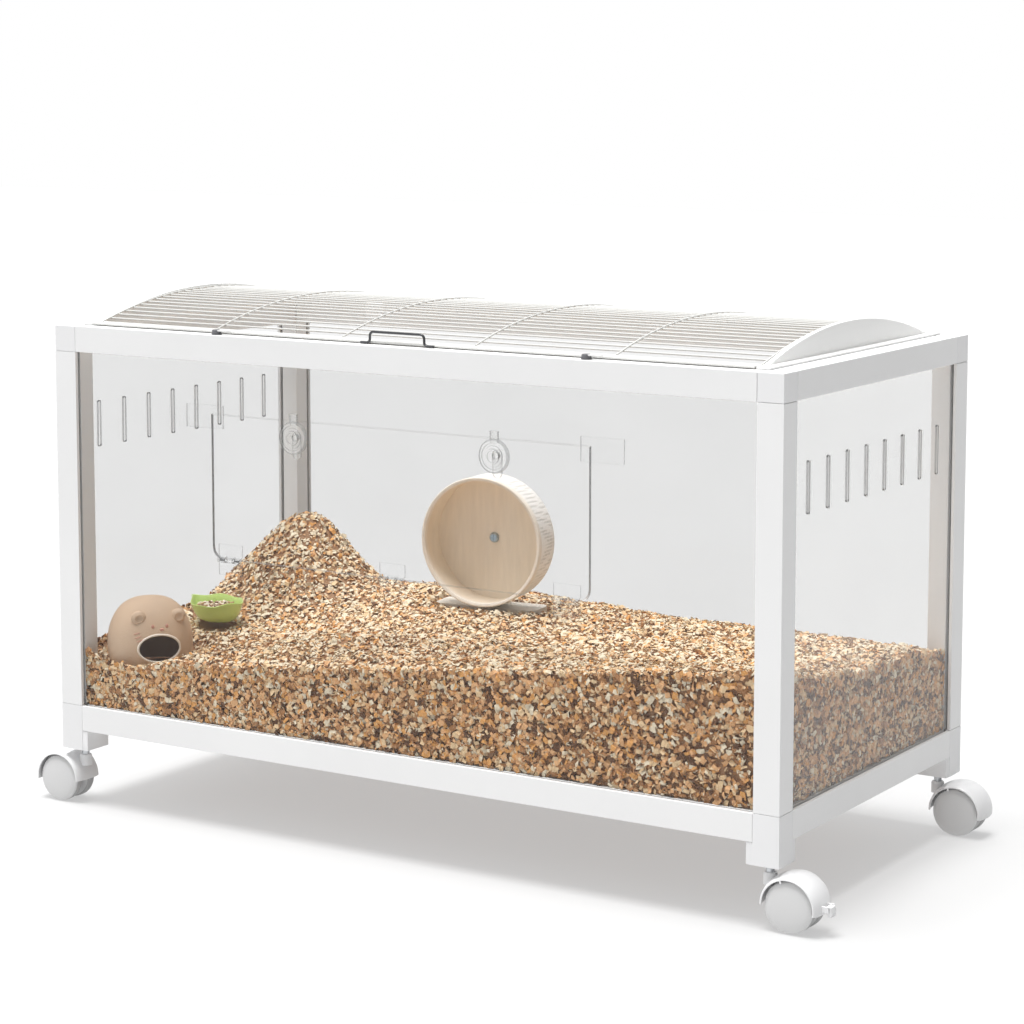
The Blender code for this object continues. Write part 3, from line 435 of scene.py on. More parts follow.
def move(bm, matrix):
    bmesh.ops.transform(bm, matrix=matrix, verts=bm.verts[:])
    return bm


def shifted(bm, offset):
    return move(bm, Matrix.Translation(offset))


def upright(centre, turn=0.0):
    """Place at a centre, turned about the vertical."""
    return Matrix.Translation(centre) @ Matrix.Rotation(turn, 4, "Z")


def facing_back(centre, turn=0.0):
    """Place whose +Z points to the back, turned about the vertical."""
    return upright(centre, turn) @ Matrix.Rotation(-pi / 2, 4, "X")


def arc(centre, radius, first, last, count):
    """Points of an arc, angles in degrees, both ends included."""
    angles = [radians(first + (last - first) * n / (count - 1)) for n in range(count)]
    return [(centre[0] + radius * cos(a), centre[1] + radius * sin(a)) for a in angles]


def carved(bm, *cutters):
    """The solid with each cutter taken out of it."""
    mesh = bpy.data.meshes.new("solid")
    bm.to_mesh(mesh)
    solid = placed("solid", mesh)
    tools = []
    for cutter in cutters:
        tool = placed("tool", bpy.data.meshes.new("tool"))
        cutter.to_mesh(tool.data)
        modifier = solid.modifiers.new("cut", "BOOLEAN")
        modifier.operation = "DIFFERENCE"
        modifier.solver = "EXACT"
        modifier.object = tool
        tools.append(tool)
    bpy.context.view_layer.update()
    result = bmesh.new()
    result.from_object(solid, bpy.context.evaluated_depsgraph_get())
    for thing in [solid, *tools]:
        bpy.data.objects.remove(thing)
    return result


def piece(name, body, parts, replaced=(), bevel=0.0, segments=2, crease=35.0):
    """One object from (solid, look name) parts, riding on a CAD body in place of CAD nodes."""
    whole = bmesh.new()
    looks = []
    for solid, look in parts:
        if look is not None:
            if look not in looks:
                looks.append(look)
            for face in solid.faces:
                face.material_index = looks.index(look)
        part = bpy.data.meshes.new("part")
        solid.to_mesh(part)
        whole.from_mesh(part)
        bpy.data.meshes.remove(part)
    mesh = bpy.data.meshes.new(name)
    whole.to_mesh(mesh)
    for look in looks:
        mesh.materials.append(LOOKS[look].material)
    mesh.polygons.foreach_set("use_smooth", [True] * len(mesh.polygons))
    mesh.set_sharp_from_angle(angle=radians(crease))
    made = placed(name, mesh)
    if bevel:
        rounding = made.modifiers.new("rounded_edges", "BEVEL")
        rounding.width = bevel
        rounding.segments = segments
        rounding.limit_method = "ANGLE"
        rounding.angle_limit = radians(crease)
        rounding.harden_normals = True
    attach(made, body)
    if replaced:
        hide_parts(*replaced)
    return made


def merged(node):
    """A CAD node's solid with its facets joined into clean flat faces."""
    bm = bmesh.new()
    bm.from_mesh(frame["nodes"][node].data)
    bmesh.ops.remove_doubles(bm, verts=bm.verts[:], dist=1e-6)
    bmesh.ops.dissolve_limit(bm, angle_limit=radians(0.5), verts=bm.verts[:], edges=bm.edges[:])
    for face in bm.faces:
        face.material_index = 0
    return bm


def body_of(node):
    bodies = frame["record"]["behaviour"]["bodies"]
    return next(body for body, nodes in bodies.items() if node in nodes)


def shown(node, parts, bevel=0.0, segments=2, crease=35.0):
    """One object in place of one CAD node, on the node's own body."""
    return piece(node + "_shown", body_of(node), parts, (node,), bevel, segments, crease)


def clear_shown(node, parts):
    """A see-through object in place of a CAD node; it casts no shadow."""
    shown(node, parts).visible_shadow = False


def redone(node, look, bevel, segments=2):
    """A CAD node with its edges rounded and its own finish."""
    shown(node, [(merged(node), look)], bevel, segments)


# ---------------- frame and panels
def add_frame():
    """Posts and rails, and the connectors at their ends."""
    for node in frame["nodes"]:
        if node.endswith(("_post", "_rail")):
            redone(node, "profile", 0.0007)
        elif node.endswith(("_top_corner", "_foot")):
            redone(node, "connector", 0.0009)


def only(solid, wanted):
    """A copy of the solid with just the faces that pass a test."""
    kept = solid.copy()
    bmesh.ops.delete(kept, geom=[face for face in kept.faces if not wanted(face)], context="FACES")
    return kept


def parted(solid, axis, face_look, edge_look, limit=0.5):
    """A clear solid in two finishes: its broad faces across the axis, and its denser edges."""
    return [(only(solid, lambda face: abs(face.normal[axis]) >= limit), face_look),
            (only(solid, lambda face: abs(face.normal[axis]) < limit), edge_look)]


def within(node, point, axes, margin):
    """True if a point is clear of the node's outer edges along each of the axes."""
    low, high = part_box(node)
    return all(low[k] + margin < point[k] < high[k] - margin for k in axes)


def slot_rims(solid, node):
    """Closed paths round the slots in an end panel, on its outer face."""
    low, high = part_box(node)
    outer = low[0] if low[0] < 0 else high[0]
    links = {}
    for edge in solid.edges:
        on_face = all(abs(vert.co.x - outer) < 1e-5 for vert in edge.verts)
        at_edge = any(abs(face.normal.x) < 0.5 for face in edge.link_faces)
        if on_face and at_edge and within(node, edge.verts[0].co, (1, 2), 0.004):
            first, second = edge.verts
            links.setdefault(first, []).append(second)
            links.setdefault(second, []).append(first)
    paths = []
    while links:
        vert, path = next(iter(links)), []
        while vert in links:
            path.append(vert.co.copy())
            nexts = links.pop(vert)
            vert = next((other for other in nexts if other in links), None)
        paths.append(path + [path[0]])
    return paths


def add_sheet(node):
    """A clear sheet whose cut edges show as denser lines."""
    low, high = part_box(node)
    thin = min(range(3), key=lambda axis: high[axis] - low[axis])
    clear_shown(node, parted(merged(node), thin, "sheet", "sheet_edge"))


def add_end_panel(node, look):
    """A clear end panel: its vent slots have grey walls, round ends darkened with painted shade, and a
    painted highlight round their rims.
    """
    solid = merged(node)
    # thin bright tubes round each slot rim: a painted highlight, not a separate part
    glints = [(tube(path, 0.00032, 6), "glint") for path in slot_rims(solid, node)]
    faces, (rims, _) = parted(solid, 0, look, "sheet_edge")

    def in_slot(face):
        return within(node, face.calc_center_median(), (1, 2), 0.01)

    def at_end(face):
        return abs(face.normal.z) > 0.35

    # slot faces that turn up or down take the painted shade at the slot ends
    parts = [faces, (only(rims, lambda face: not in_slot(face)), "sheet_edge"),
             (only(rims, lambda face: in_slot(face) and not at_end(face)), "slot_wall"),
             (only(rims, lambda face: in_slot(face) and at_end(face)), "slot_end")]
    clear_shown(node, parts + glints)


def add_panels():
    """Front and back sheets, the two end panels, then the floor and the door."""
    for node in ("front_panel", "back_panel"):
        add_sheet(node)
    add_end_panel("left_panel", "sheet")
    # the right panel's whiter veil is a painted reflection
    add_end_panel("right_panel", "sheet_painted_reflection")
    for node in ("floor_panel", "front_door"):
        add_sheet(node)


def add_door_fittings():
    """Clear hinge leaves and stops, and the two turn latches."""
    leaves = ["door_hinge_%s_%s_leaf" % (side, part) for side in ("left", "middle", "right")
              for part in ("panel", "door")]
    for node in leaves + ["door_stop_left", "door_stop_right"]:
        clear_shown(node, parted(merged(node), 1, "fitting", "fitting_edge"))
    for side in ("left", "right"):
        add_turn_latch(side)


def add_turn_latch(side):
    """Round latch with stepped rings, a ribbed neck, a shaft and an inner cam."""
    node = "door_latch_" + side
    low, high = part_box(node)
    centre_x = (low[0] + high[0]) / 2
    centre = Vector((centre_x, PANEL_Y, high[2] - 0.0285))
    back = -0.0003
    rings = [(0, -0.007), (0.003, -0.007), (0.0034, -0.0062), (0.0062, -0.0062), (0.0068, -0.0069),
             (0.0082, -0.0066), (0.009, -0.005), (0.0118, -0.0047), (0.0124, -0.0038), (0.0146, -0.0038),
             (0.0152, -0.0049), (0.0176, -0.0048), (0.0192, -0.0041), (0.01975, -0.0028), (0.01975, back),
             (0, back)]
    solids = [move(turned(rings, 56), facing_back(centre))]
    for level in range(4):
        z = 0.019 + 0.0025 * level
        solids.append(shifted(block((-0.0055, -0.0035, z), (0.0055, back, z + 0.0016)), centre))
    solids.append(shifted(block((-0.0048, -0.0028, 0.015), (0.0048, back, 0.0285)), centre))
    shaft = turned([(0, -0.0003), (0.004, -0.0003), (0.004, SHEET + 0.002), (0, SHEET + 0.002)], 24)
    solids.append(move(shaft, facing_back(centre)))
    cam = slab(arc((0, -0.02), 0.006, 180, 360, 9) + arc((0, 0.001), 0.006, 0, 180, 9), 0.003)
    solids.append(move(cam, Matrix.Translation(centre + Vector((0, SHEET + 0.0033, 0))) @ UPENDED))
    clear_shown(node, [part for solid in solids for part in parted(solid, 1, "latch", "latch_edge", 0.93)])


# ---------------- lid
def arch_radius(rise):
    return (ARCH_HALF ** 2 + rise ** 2) / (2 * rise)


def on_arch(s, lift):
    """Point (y, z) of the mesh's arch at signed length s from its apex, lifted off it."""
    radius = arch_radius(ARCH_RISE)
    return (MID_Y + (radius + lift) * sin(s / radius),
            LID_Z + ARCH_RISE - radius + (radius + lift) * cos(s / radius))


def add_lid_mesh():
    """Long straight wires welded under six arched ones, with a flat border and rods front and back."""
    radius = arch_radius(ARCH_RISE)
    foot = radius * asin(ARCH_HALF / radius)
    parts = []
    for n in range(WIRE_COUNT):
        s = (-foot + WIRE_RADIUS) + 2 * (foot - WIRE_RADIUS) * n / (WIRE_COUNT - 1)
        y, z = on_arch(s, -0.0003)
        parts.append((tube([(-MESH_HALF, y, z), (0, y, z), (MESH_HALF, y, z)], WIRE_RADIUS, 8), "wire"))
    for x in ARCH_X:
        spots = [-foot + 2 * foot * n / 44 for n in range(45)]
        path = [(x, *on_arch(s, 0.0009)) for s in spots]
        parts.append((tube(path, WIRE_RADIUS, 8), "wire"))
    for side in (-1, 1):
        y = MID_Y + side * (ARCH_HALF + ROD_OUT)
        rod = [(x, y, LID_Z) for x in (-MESH_HALF, 0, MESH_HALF)]
        parts.append((tube(rod, ROD_RADIUS, 14), "wire"))
        stops = [-MESH_HALF, MESH_HALF]
        if side > 0:
            stops[1:1] = [edge for x in CLIP_X for edge in (x - 0.013, x + 0.013)]
        inner, outer = sorted((MID_Y + side * (ARCH_HALF - 0.001), y))
        for start, end in zip(stops[::2], stops[1::2]):
            parts.append((block((start, inner, LID_Z - 0.0008), (end, outer, LID_Z + 0.0006)), "wire"))
    shown("lid_mesh", parts)


def add_end_plates():
    """Arched end plates, 6 mm thick with a rounded top edge, over a low flange."""
    top = max(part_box("lid_end_plate_left")[1][2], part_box("lid_end_plate_right")[1][2])
    low = RIM_Z + 0.0003
    flange = RIM_Z + 0.0028
    rise = top - flange
    reach = ARCH_HALF + 0.018
    outline = [(-reach, 0.0), (reach, 0.0), (reach, flange - low), (ARCH_HALF, flange - low + 0.0007)]
    radius = arch_radius(rise)
    half = degrees(asin(ARCH_HALF / radius))
    crown = arc((0, top - low - radius), radius, 90 - half, 90 + half, 49)
    outline += crown[1:-1] + [(-ARCH_HALF, flange - low + 0.0007), (-reach, flange - low)]
    stand = Matrix.Rotation(pi / 2, 4, "Z") @ UPENDED
    for side, sx in (("left", -1), ("right", 1)):
        inner = MESH_HALF + 0.0003
        start = inner if sx > 0 else -inner - 0.006
        plate = move(slab(outline, 0.006), Matrix.Translation((start, MID_Y, low)) @ stand)
        x0, x1 = sorted((sx * (inner + 0.004), sx * (inner + 0.0172)))
        strip = block((x0, MID_Y - reach, low), (x1, MID_Y + reach, flange))
        shown("lid_end_plate_" + side, [(plate, "lid_white"), (strip, "lid_white")], 0.0009, 3)


def add_handle():
    """Bent wire handle with flattened feet."""
    low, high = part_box("lid_handle")
    radius = (high[1] - low[1]) / 2
    y = (low[1] + high[1]) / 2
    base, top = low[2] + radius, high[2] - radius
    leg, bend = 0.0375, 0.005
    half = [(-high[0] + 0.0004, base), (-leg - 0.009, base), (-leg - 0.0045, base + 0.0001)]
    half += arc((-leg - 0.004, base + 0.004), 0.004, 275, 355, 6)
    half += arc((-leg + bend, top - bend), bend, 180, 92, 9)
    path = half + [(-x, z) for x, z in half[::-1]]
    sizes = [radius * (1.0 if abs(x) > leg + 0.003 else 0.86) for x, z in path]
    wire = tube([(x, y, z) for x, z in path], sizes, 14)
    for vert in wire.verts:
        if abs(vert.co.x) > leg + 0.0035:
            vert.co.z = base + (vert.co.z - base) * 0.8 - 0.0003
    shown("lid_handle", [(wire, "dark")])


def add_lid_fittings():
    """Clips on the back rail, and turn buttons with a slotted screw on the front rail."""
    for node in ("lid_clip_left", "lid_clip_right"):
        redone(node, "lid_white", 0.0004)
    for side in ("left", "right"):
        node = "lid_latch_" + side
        low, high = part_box(node)
        centre = Vector((low[0] + 0.0062, (low[1] + high[1]) / 2, RIM_Z))
        washer = turned([(0, 0.0003), (0.0062, 0.0003), (0.0062, 0.0012), (0, 0.0012)], 40)
        screw = [(0, 0.0003), (0.0055, 0.0003), (0.0055, 0.005), (0.0048, 0.006), (0.003, 0.0062),
                 (0, 0.0062)]
        head = carved(turned(screw, 40), block((-0.0038, -0.0005, 0.0054), (0.0038, 0.0005, 0.007)))
        tab = [(0.003, -0.0036)] + arc((0.0169, 0), 0.0036, -90, 90, 11) + [(0.003, 0.0036)]
        parts = [(shifted(washer, centre), "button"), (shifted(head, centre), "button"),
                 (shifted(slab(tab, 0.0015), centre + Vector((0, 0, 0.0044))), "lid_white")]
        shown(node, parts, 0.0003)


# ---------------- casters
def add_casters():
    """Hood with its stem, a pair of wheels and, where there is one, the brake lever's ears."""
    hood = [(0.0303, -0.0212), (0.0318, -0.0212), (0.0334, -0.019), (0.0347, -0.014), (0.0356, -0.007),
            (0.036, 0), (0.0356, 0.007), (0.0347, 0.014), (0.0334, 0.019), (0.0318, 0.0212),
            (0.0303, 0.0212), (0.0322, 0.015), (0.0336, 0.007), (0.034, 0.003), (0.015, 0.003),
            (0.015, -0.003), (0.034, -0.003), (0.0336, -0.007), (0.0322, -0.015)]
    face = [(0, 0.0205), (0.008, 0.0204), (0.016, 0.02), (0.0225, 0.0193), (0.0262, 0.0184),
            (0.028, 0.017), (0.0286, 0.015)]
    wheel = face + [(WHEEL_Z, 0.0135), (WHEEL_Z, 0.0082), (0.0282, 0.0068), (0.027, 0.006),
                    (0.004, 0.0058)]
    profile = wheel + [(radius, -y) for radius, y in wheel[::-1]]
    axle = Matrix.Translation((WHEEL_TRAIL, 0, WHEEL_Z)) @ UPENDED
    for name, heading in CASTER_HEADING.items():
        low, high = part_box("caster_%s_wheels" % name)
        spot = Vector((low[0] + high[0], low[1] + high[1], 0)) / 2
        turn = radians(heading)
        pivot = spot - Vector((cos(turn), sin(turn), 0)) * WHEEL_TRAIL
        stand = upright(pivot, turn)
        shell = move(turned(hood, 72, -8.0, 188.0), stand @ axle)
        boss = turned([(0.0046, -0.004), (0.017, -0.004), (0.017, 0.004), (0.0046, 0.004)], 40)
        collar = turned([(0, 0.0465), (0.0078, 0.0465), (0.0078, 0.0585), (0.0066, 0.0605), (0, 0.0605)], 32)
        stem = turned([(0, 0.055), (0.0048, 0.055), (0.0048, 0.0885), (0.004, 0.0895), (0, 0.0895)], 32)
        bridge = block((0.0272, -0.0011, 0.0198), (0.031, 0.0011, 0.0212))
        move(bridge, Matrix.Rotation(1.85, 4, "Z"))
        parts = [(shell, "caster_white"), (move(boss, stand @ axle), "caster_white"),
                 (move(collar, stand), "caster_white"), (move(stem, stand), "steel"),
                 (move(bridge, stand @ axle), "caster_white")]
        node = "caster_%s_body" % name
        if name in BRAKED:
            for y in (-0.0085, 0.0062):
                ear = block((0.0615, y, 0.0275), (0.0732, y + 0.0023, 0.0343))
                parts.append((move(ear, stand), "caster_white"))
            redone("caster_%s_brake_lever" % name, "caster_white", 0.0007, 3)
        shown(node, parts, 0.0004)
        pair = move(turned(profile, 80), stand @ axle)
        for polygon in pair.faces:
            offset = stand.inverted() @ polygon.calc_center_median() - Vector((WHEEL_TRAIL, 0, WHEEL_Z))
            reach = hypot(offset.x, offset.z)
            polygon.material_index = 1 if reach > 0.0265 and abs(offset.y) < 0.015 else 0
        wheels = shown("caster_%s_wheels" % name, [(pair, None)])
        wheels.data.materials.append(LOOKS["caster_grey"].material)
        wheels.data.materials.append(LOOKS["tread"].material)


# ---------------- running wheel
def add_running_wheel():
    """Drum with a rounded front hoop, a thin perforated band, its disc, bolt and stand."""
    full, deep = DRUM_RADIUS, DRUM_DEPTH
    inner, skin, shell = full - 0.004, full - 0.0024, full - 0.0008
    place = facing_back(DRUM_FRONT, DRUM_TURN)
    hoop = [(inner - 0.0006, 0.0012), (inner + 0.0004, 0.0003), (full - 0.0012, 0), (full, 0.001),
            (full, 0.0062), (full - 0.0012, 0.0068), (inner - 0.0006, 0.0068)]
    liner = [(inner, 0.0066), (full - 0.0022, 0.0066), (full - 0.0022, deep - 0.004), (inner, deep - 0.004)]
    band = [(skin, 0.0064), (shell, 0.0064), (shell, deep), (skin, deep)]
    disc = [(0.0042, deep - 0.004), (skin, deep - 0.004), (skin, deep), (0.0042, deep)]
    rings = ((hoop, "rim"), (liner, "drum"), (band, "band"), (disc, "drum"))
    shown("running_wheel", [(move(turned(ring, 120), place), look) for ring, look in rings])

    head_z = DRUM_DEPTH - 0.0043
    back = DRUM_DEPTH + 0.0145
    bolt = [(0, head_z - 0.003), (0.0044, head_z - 0.003), (0.006, head_z - 0.0018),
            (0.0065, head_z - 0.0006), (0.0065, head_z), (0.0037, head_z), (0.0037, back), (0, back)]
    cross = [shifted(block((-x, -y, -0.001), (x, y, 0.0012)), (0, 0, head_z - 0.003))
             for x, y in ((0.0034, 0.0006), (0.0006, 0.0034))]
    head = move(carved(turned(bolt, 40), *cross), place)
    shown("wheel_axle_bolt", [(head, "bolt")], 0.0002)

    drop = STAND_Z - DRUM_FRONT.z
    front = DRUM_DEPTH + 0.0035
    corner = 0.01
    x0, x1, y0, y1 = -0.074, 0.066, 0.019, front + 0.014
    corners = ((x0 + corner, y0 + corner), (x1 - corner, y0 + corner), (x1 - corner, y1 - corner),
               (x0 + corner, y1 - corner))
    outline = [spot for n, centre in enumerate(corners)
               for spot in arc(centre, corner, 180 + 90 * n, 270 + 90 * n, 7)]
    stand = upright(DRUM_FRONT, DRUM_TURN)
    plate = move(slab(outline, 0.0075), stand @ Matrix.Translation((0, 0, drop)))
    post = [(-0.016, drop + 0.004), (0.016, drop + 0.004)] + arc((0, 0.002), 0.016, 0, 180, 17)
    holder = move(slab(post, 0.009), stand @ Matrix.Translation((0, front + 0.009, 0)) @ UPENDED)
    bore = turned([(0, 0.045), (0.004, 0.045), (0.004, 0.065), (0, 0.065)], 24)
    parts = [(plate, "plate"), (carved(holder, move(bore, place)), "plate")]
    shown("wheel_stand", parts, 0.0008)


# ---------------- bowl and house
def leaf_reach(angle, share):
    """Leaf outline as a share of its half size: round, with a drawn-out tip on the left."""
    tip = exp(-((abs(angle) - pi) / 0.3) ** 2)
    return share * (1 + (0.34 * tip + 0.04 * cos(3 * angle)) * share)


def add_bowl():
    """Leaf-shaped bowl with a wavy rim, a midrib inside and a layer of seed mix."""
    count, half_x, half_y = 96, 0.038, 0.03
    rings = ((0.3, 0.0), (0.55, 0.0002), (0.7, 0.003), (0.86, 0.011), (0.95, 0.02), (1.0, 0.0262),
             (0.985, 0.027), (0.965, 0.0264), (0.9, 0.019), (0.8, 0.011), (0.62, 0.0045), (0.3, 0.0036))
    rim = 0.0262
    bm = bmesh.new()
    rows = []
    for share, z in rings:
        row = []
        for n in range(count):
            angle = 2 * pi * n / count - pi
            reach = leaf_reach(angle, share)
            dip = 0.005 * max(0.0, cos(angle + pi / 2)) ** 3 + 0.0012 * sin(5 * angle)
            x, y = half_x * reach * cos(angle), half_y * reach * sin(angle)
            row.append(bm.verts.new((x, y, z - dip * min(1.0, z / rim))))
        rows.append(row)
    place = upright(BOWL_CENTRE, BOWL_TURN)
    parts = [(move(closed_skin(bm, rows), place), "leaf")]
    fill = turned([(0, 0.005), (0.74, 0.005), (0.8, 0.015), (0.74, 0.0165), (0, 0.0165)], 40)
    parts.append((move(fill, place @ Matrix.Diagonal((half_x, half_y, 1, 1))), "seed"))
    rng = np.random.default_rng(7)
    for _ in range(260):
        angle, share = rng.uniform(-pi, pi), sqrt(rng.uniform(0, 1)) * 0.74
        height = 0.016 + 0.0015 * share ** 2 + rng.uniform(0, 0.004)
        spot = Vector((half_x * share * cos(angle), half_y * share * sin(angle), height))
        tilt = Matrix.Rotation(rng.uniform(0, pi), 4, "Z")
        tilt = tilt @ Matrix.Rotation(rng.uniform(-0.5, 0.5), 4, "Y")
        grain = ball((0, 0, 0), (0.0034, 0.0017, 0.0013), 8)
        look = ("seed", "husk", "drum")[int(rng.integers(0, 3))]
        parts.append((move(grain, place @ Matrix.Translation(spot) @ tilt), look))
    shown("food_bowl", parts)


def house_share(rise):
    """Half size of the house's skin at an angle of rise, as a share of its widest."""
    return copysign(abs(cos(rise)) ** 0.75, cos(rise))


def egg(half_x, half_y, height, low, steps, rows):
    """Rounded block from z = low, flat below and closed by a cap."""
    bm = bmesh.new()
    base = sin(HOUSE_TUCK)
    rings = []
    for row in range(rows):
        rise = radians(116 * row / (rows - 1)) - HOUSE_TUCK
        share = house_share(rise)
        z = low + height * (sin(rise) + base) / (1 + base)
        ring = []
        for n in range(steps):
            angle = 2 * pi * n / steps
            bulge = abs(cos(angle)) ** HOUSE_CURVE + abs(sin(angle)) ** HOUSE_CURVE
            reach = share * bulge ** (-1 / HOUSE_CURVE)
            ring.append(bm.verts.new((half_x * reach * cos(angle), half_y * reach * sin(angle), z)))
        rings.append(ring)
    return closed_skin(bm, rings)


def front_of_house(x, z):
    """Depth of the house's outer skin in front, at a place on its face."""
    base = sin(HOUSE_TUCK)
    share = house_share(asin(min(0.999, z / HOUSE_HEIGHT * (1 + base) - base)))
    across = min(0.999, abs(x) / (HOUSE_HALF[0] * share))
    return -HOUSE_HALF[1] * share * (1 - across ** HOUSE_CURVE) ** (1 / HOUSE_CURVE)


def add_house():
    """Hollow rounded hide with an oval doorway, two ears and a generic bear's face."""
    door_x, door_z, door_half_x, door_half_z = 0.005, 0.0275, 0.0255, 0.0165
    doorway = move(turned([(0, -0.5), (1, -0.5), (1, 0.5), (0, 0.5)], 48),
                   Matrix.Translation((door_x, -0.045, door_z)) @ UPENDED
                   @ Matrix.Diagonal((door_half_x, door_half_z, 0.06, 1)))
    room = egg(*(half - HOUSE_WALL for half in HOUSE_HALF), HOUSE_HEIGHT - HOUSE_WALL, -0.0005, 60, 26)
    parts = [(carved(egg(*HOUSE_HALF, HOUSE_HEIGHT, 0.0, 72, 30), room, doorway), "clay")]
    lip = []
    for n in range(49):
        angle = 2 * pi * n / 48
        x = door_x + (door_half_x + 0.0008) * cos(angle)
        z = door_z + (door_half_z + 0.0008) * sin(angle)
        lip.append((x, front_of_house(x, z) + 0.0004, z))
    parts.append((tube(lip, 0.0014, 10), "clay_pale"))
    for x, y in ((-0.019, -0.0335), (0.031, -0.0295)):
        ear = ball((x, y, 0.0655), (0.0095, 0.0062, 0.0088), 28)
        cup = ball((x, y - 0.0068, 0.065), (0.006, 0.003, 0.0056), 20)
        parts.append((carved(ear, cup), "clay"))
    dots = ((-0.0025, 0.055, 0.002, 0.0026), (0.015, 0.055, 0.002, 0.0026),
            (0.0085, 0.051, 0.003, 0.0018))
    for x, z, half_x, half_z in dots:
        parts.append((ball((x, front_of_house(x, z), z), (half_x, 0.0014, half_z), 18), "clay_pink"))
    for n in range(3):
        spots = [(-0.026 + 0.0015 * n + 0.0018 * k, 0.046 - 0.0045 * n + 0.0006 * k) for k in range(5)]
        stroke = [(x, front_of_house(x, z) - 0.0001, z) for x, z in spots]
        parts.append((tube(stroke, 0.0006, 6), "clay_pink"))
    place = upright(HOUSE_CENTRE, HOUSE_TURN)
    shown("bear_house", [(move(solid, place), look) for solid, look in parts], crease=50.0)


# ---------------- bedding
def bump(x, y, centre, spread):
    """Smooth hill of height 1 about a centre."""
    return exp(-((x - centre[0]) / spread[0]) ** 2 - ((y - centre[1]) / spread[1]) ** 2)


def in_hollow(hollow, x, y):
    """Distance from a hollow's centre, in shares of its half sizes."""
    centre, half_x, half_y, turn, _ = hollow
    local = Matrix.Rotation(-turn, 2) @ Vector((x - centre[0], y - centre[1]))
    return hypot(local.x / half_x, local.y / half_y)


def bed_height(x, y):
    """Level of the bedding: it rises to the right and to the back, with a mound at the back left and
    hollows where furnishings stand."""
    back = y - MID_Y
    front_level = 0.195 + 0.107 * max(0.0, x + 0.285) - 0.012 * bump(x, 0, (-0.385, 0), (0.055, 1))
    front_level += 0.014 * bump(x, 0, (-0.495, 0), (0.035, 1))
    right = min(1.0, max(0.0, (x + 0.3) / 0.14))
    ridge = 0.208 + 0.028 * right + 0.008 * bump(x, 0, (-0.06, 0), (0.13, 1))
    share = 1 - (1 - min(1.0, max(0.0, (back + 0.234) / 0.334))) ** 1.8
    level = front_level + (ridge - front_level) * share
    level -= 0.02 * max(0.0, (back - 0.1) / 0.134) ** 2
    level += 0.116 * bump(x, back, (-0.39, 0.13), (0.1 if x < -0.39 else 0.085, 0.075))
    level += 0.018 * bump(x, back, (-0.21, 0.12), (0.11, 0.09))
    level += 0.004 * noise.noise(Vector((x * 22, y * 22, 0.3)))
    for hollow in HOLLOWS:
        away, floor = in_hollow(hollow, x, y), hollow[-1]
        if away < 1.0:
            level = min(level, floor)
        elif away < 1.0 + BANK:
            level = min(level, floor + (away - 1.0) / BANK * BANK_RISE)
    return level


def add_bed_body():
    """Packed mass under the loose flakes, closed against the panels and between the rails."""
    across, along = 200, 96
    shelf_in = 0.0245               # the mass between the rails, in from the mass above them
    foot_z = SHELF_Z + 0.0006
    xs = np.linspace(BED_LOW.x + LINING, BED_HIGH.x - LINING, across)
    ys = np.linspace(BED_LOW.y + LINING, BED_HIGH.y - LINING, along)
    bm = bmesh.new()
    top = [[bm.verts.new((x, y, bed_height(x, y) - 0.0015)) for y in ys] for x in xs]
    for i in range(across - 1):
        for j in range(along - 1):
            bm.faces.new((top[i][j], top[i + 1][j], top[i + 1][j + 1], top[i][j + 1]))
    rim = [(i, 0) for i in range(across)] + [(across - 1, j) for j in range(1, along)]
    rim += [(i, along - 1) for i in range(across - 2, -1, -1)] + [(0, j) for j in range(along - 2, 0, -1)]
    rings = [[top[i][j] for i, j in rim]]
    for share in (0.66, 0.33, 0.0):
        edge = [vert.co for vert in rings[0]]
        rings.append([bm.verts.new((spot.x, spot.y, foot_z + (spot.z - SHELF_Z) * share)) for spot in edge])
    inner = [(max(BED_LOW.x + shelf_in, min(BED_HIGH.x - shelf_in, xs[i])),
              max(BED_LOW.y + shelf_in, min(BED_HIGH.y - shelf_in, ys[j]))) for i, j in rim]
    for z in (foot_z, BED_LOW.z):
        rings.append([bm.verts.new((x, y, z)) for x, y in inner])
    for high, low in zip(rings, rings[1:]):
        for n in range(len(high)):
            m = (n + 1) % len(high)
            bm.faces.new((high[n], low[n], low[m], high[m]))
    bm.faces.new(rings[-1])
    bmesh.ops.recalc_face_normals(bm, faces=bm.faces[:])
    piece("bedding_body", "root", [(bm, "bed")], ("bedding",), crease=60.0)


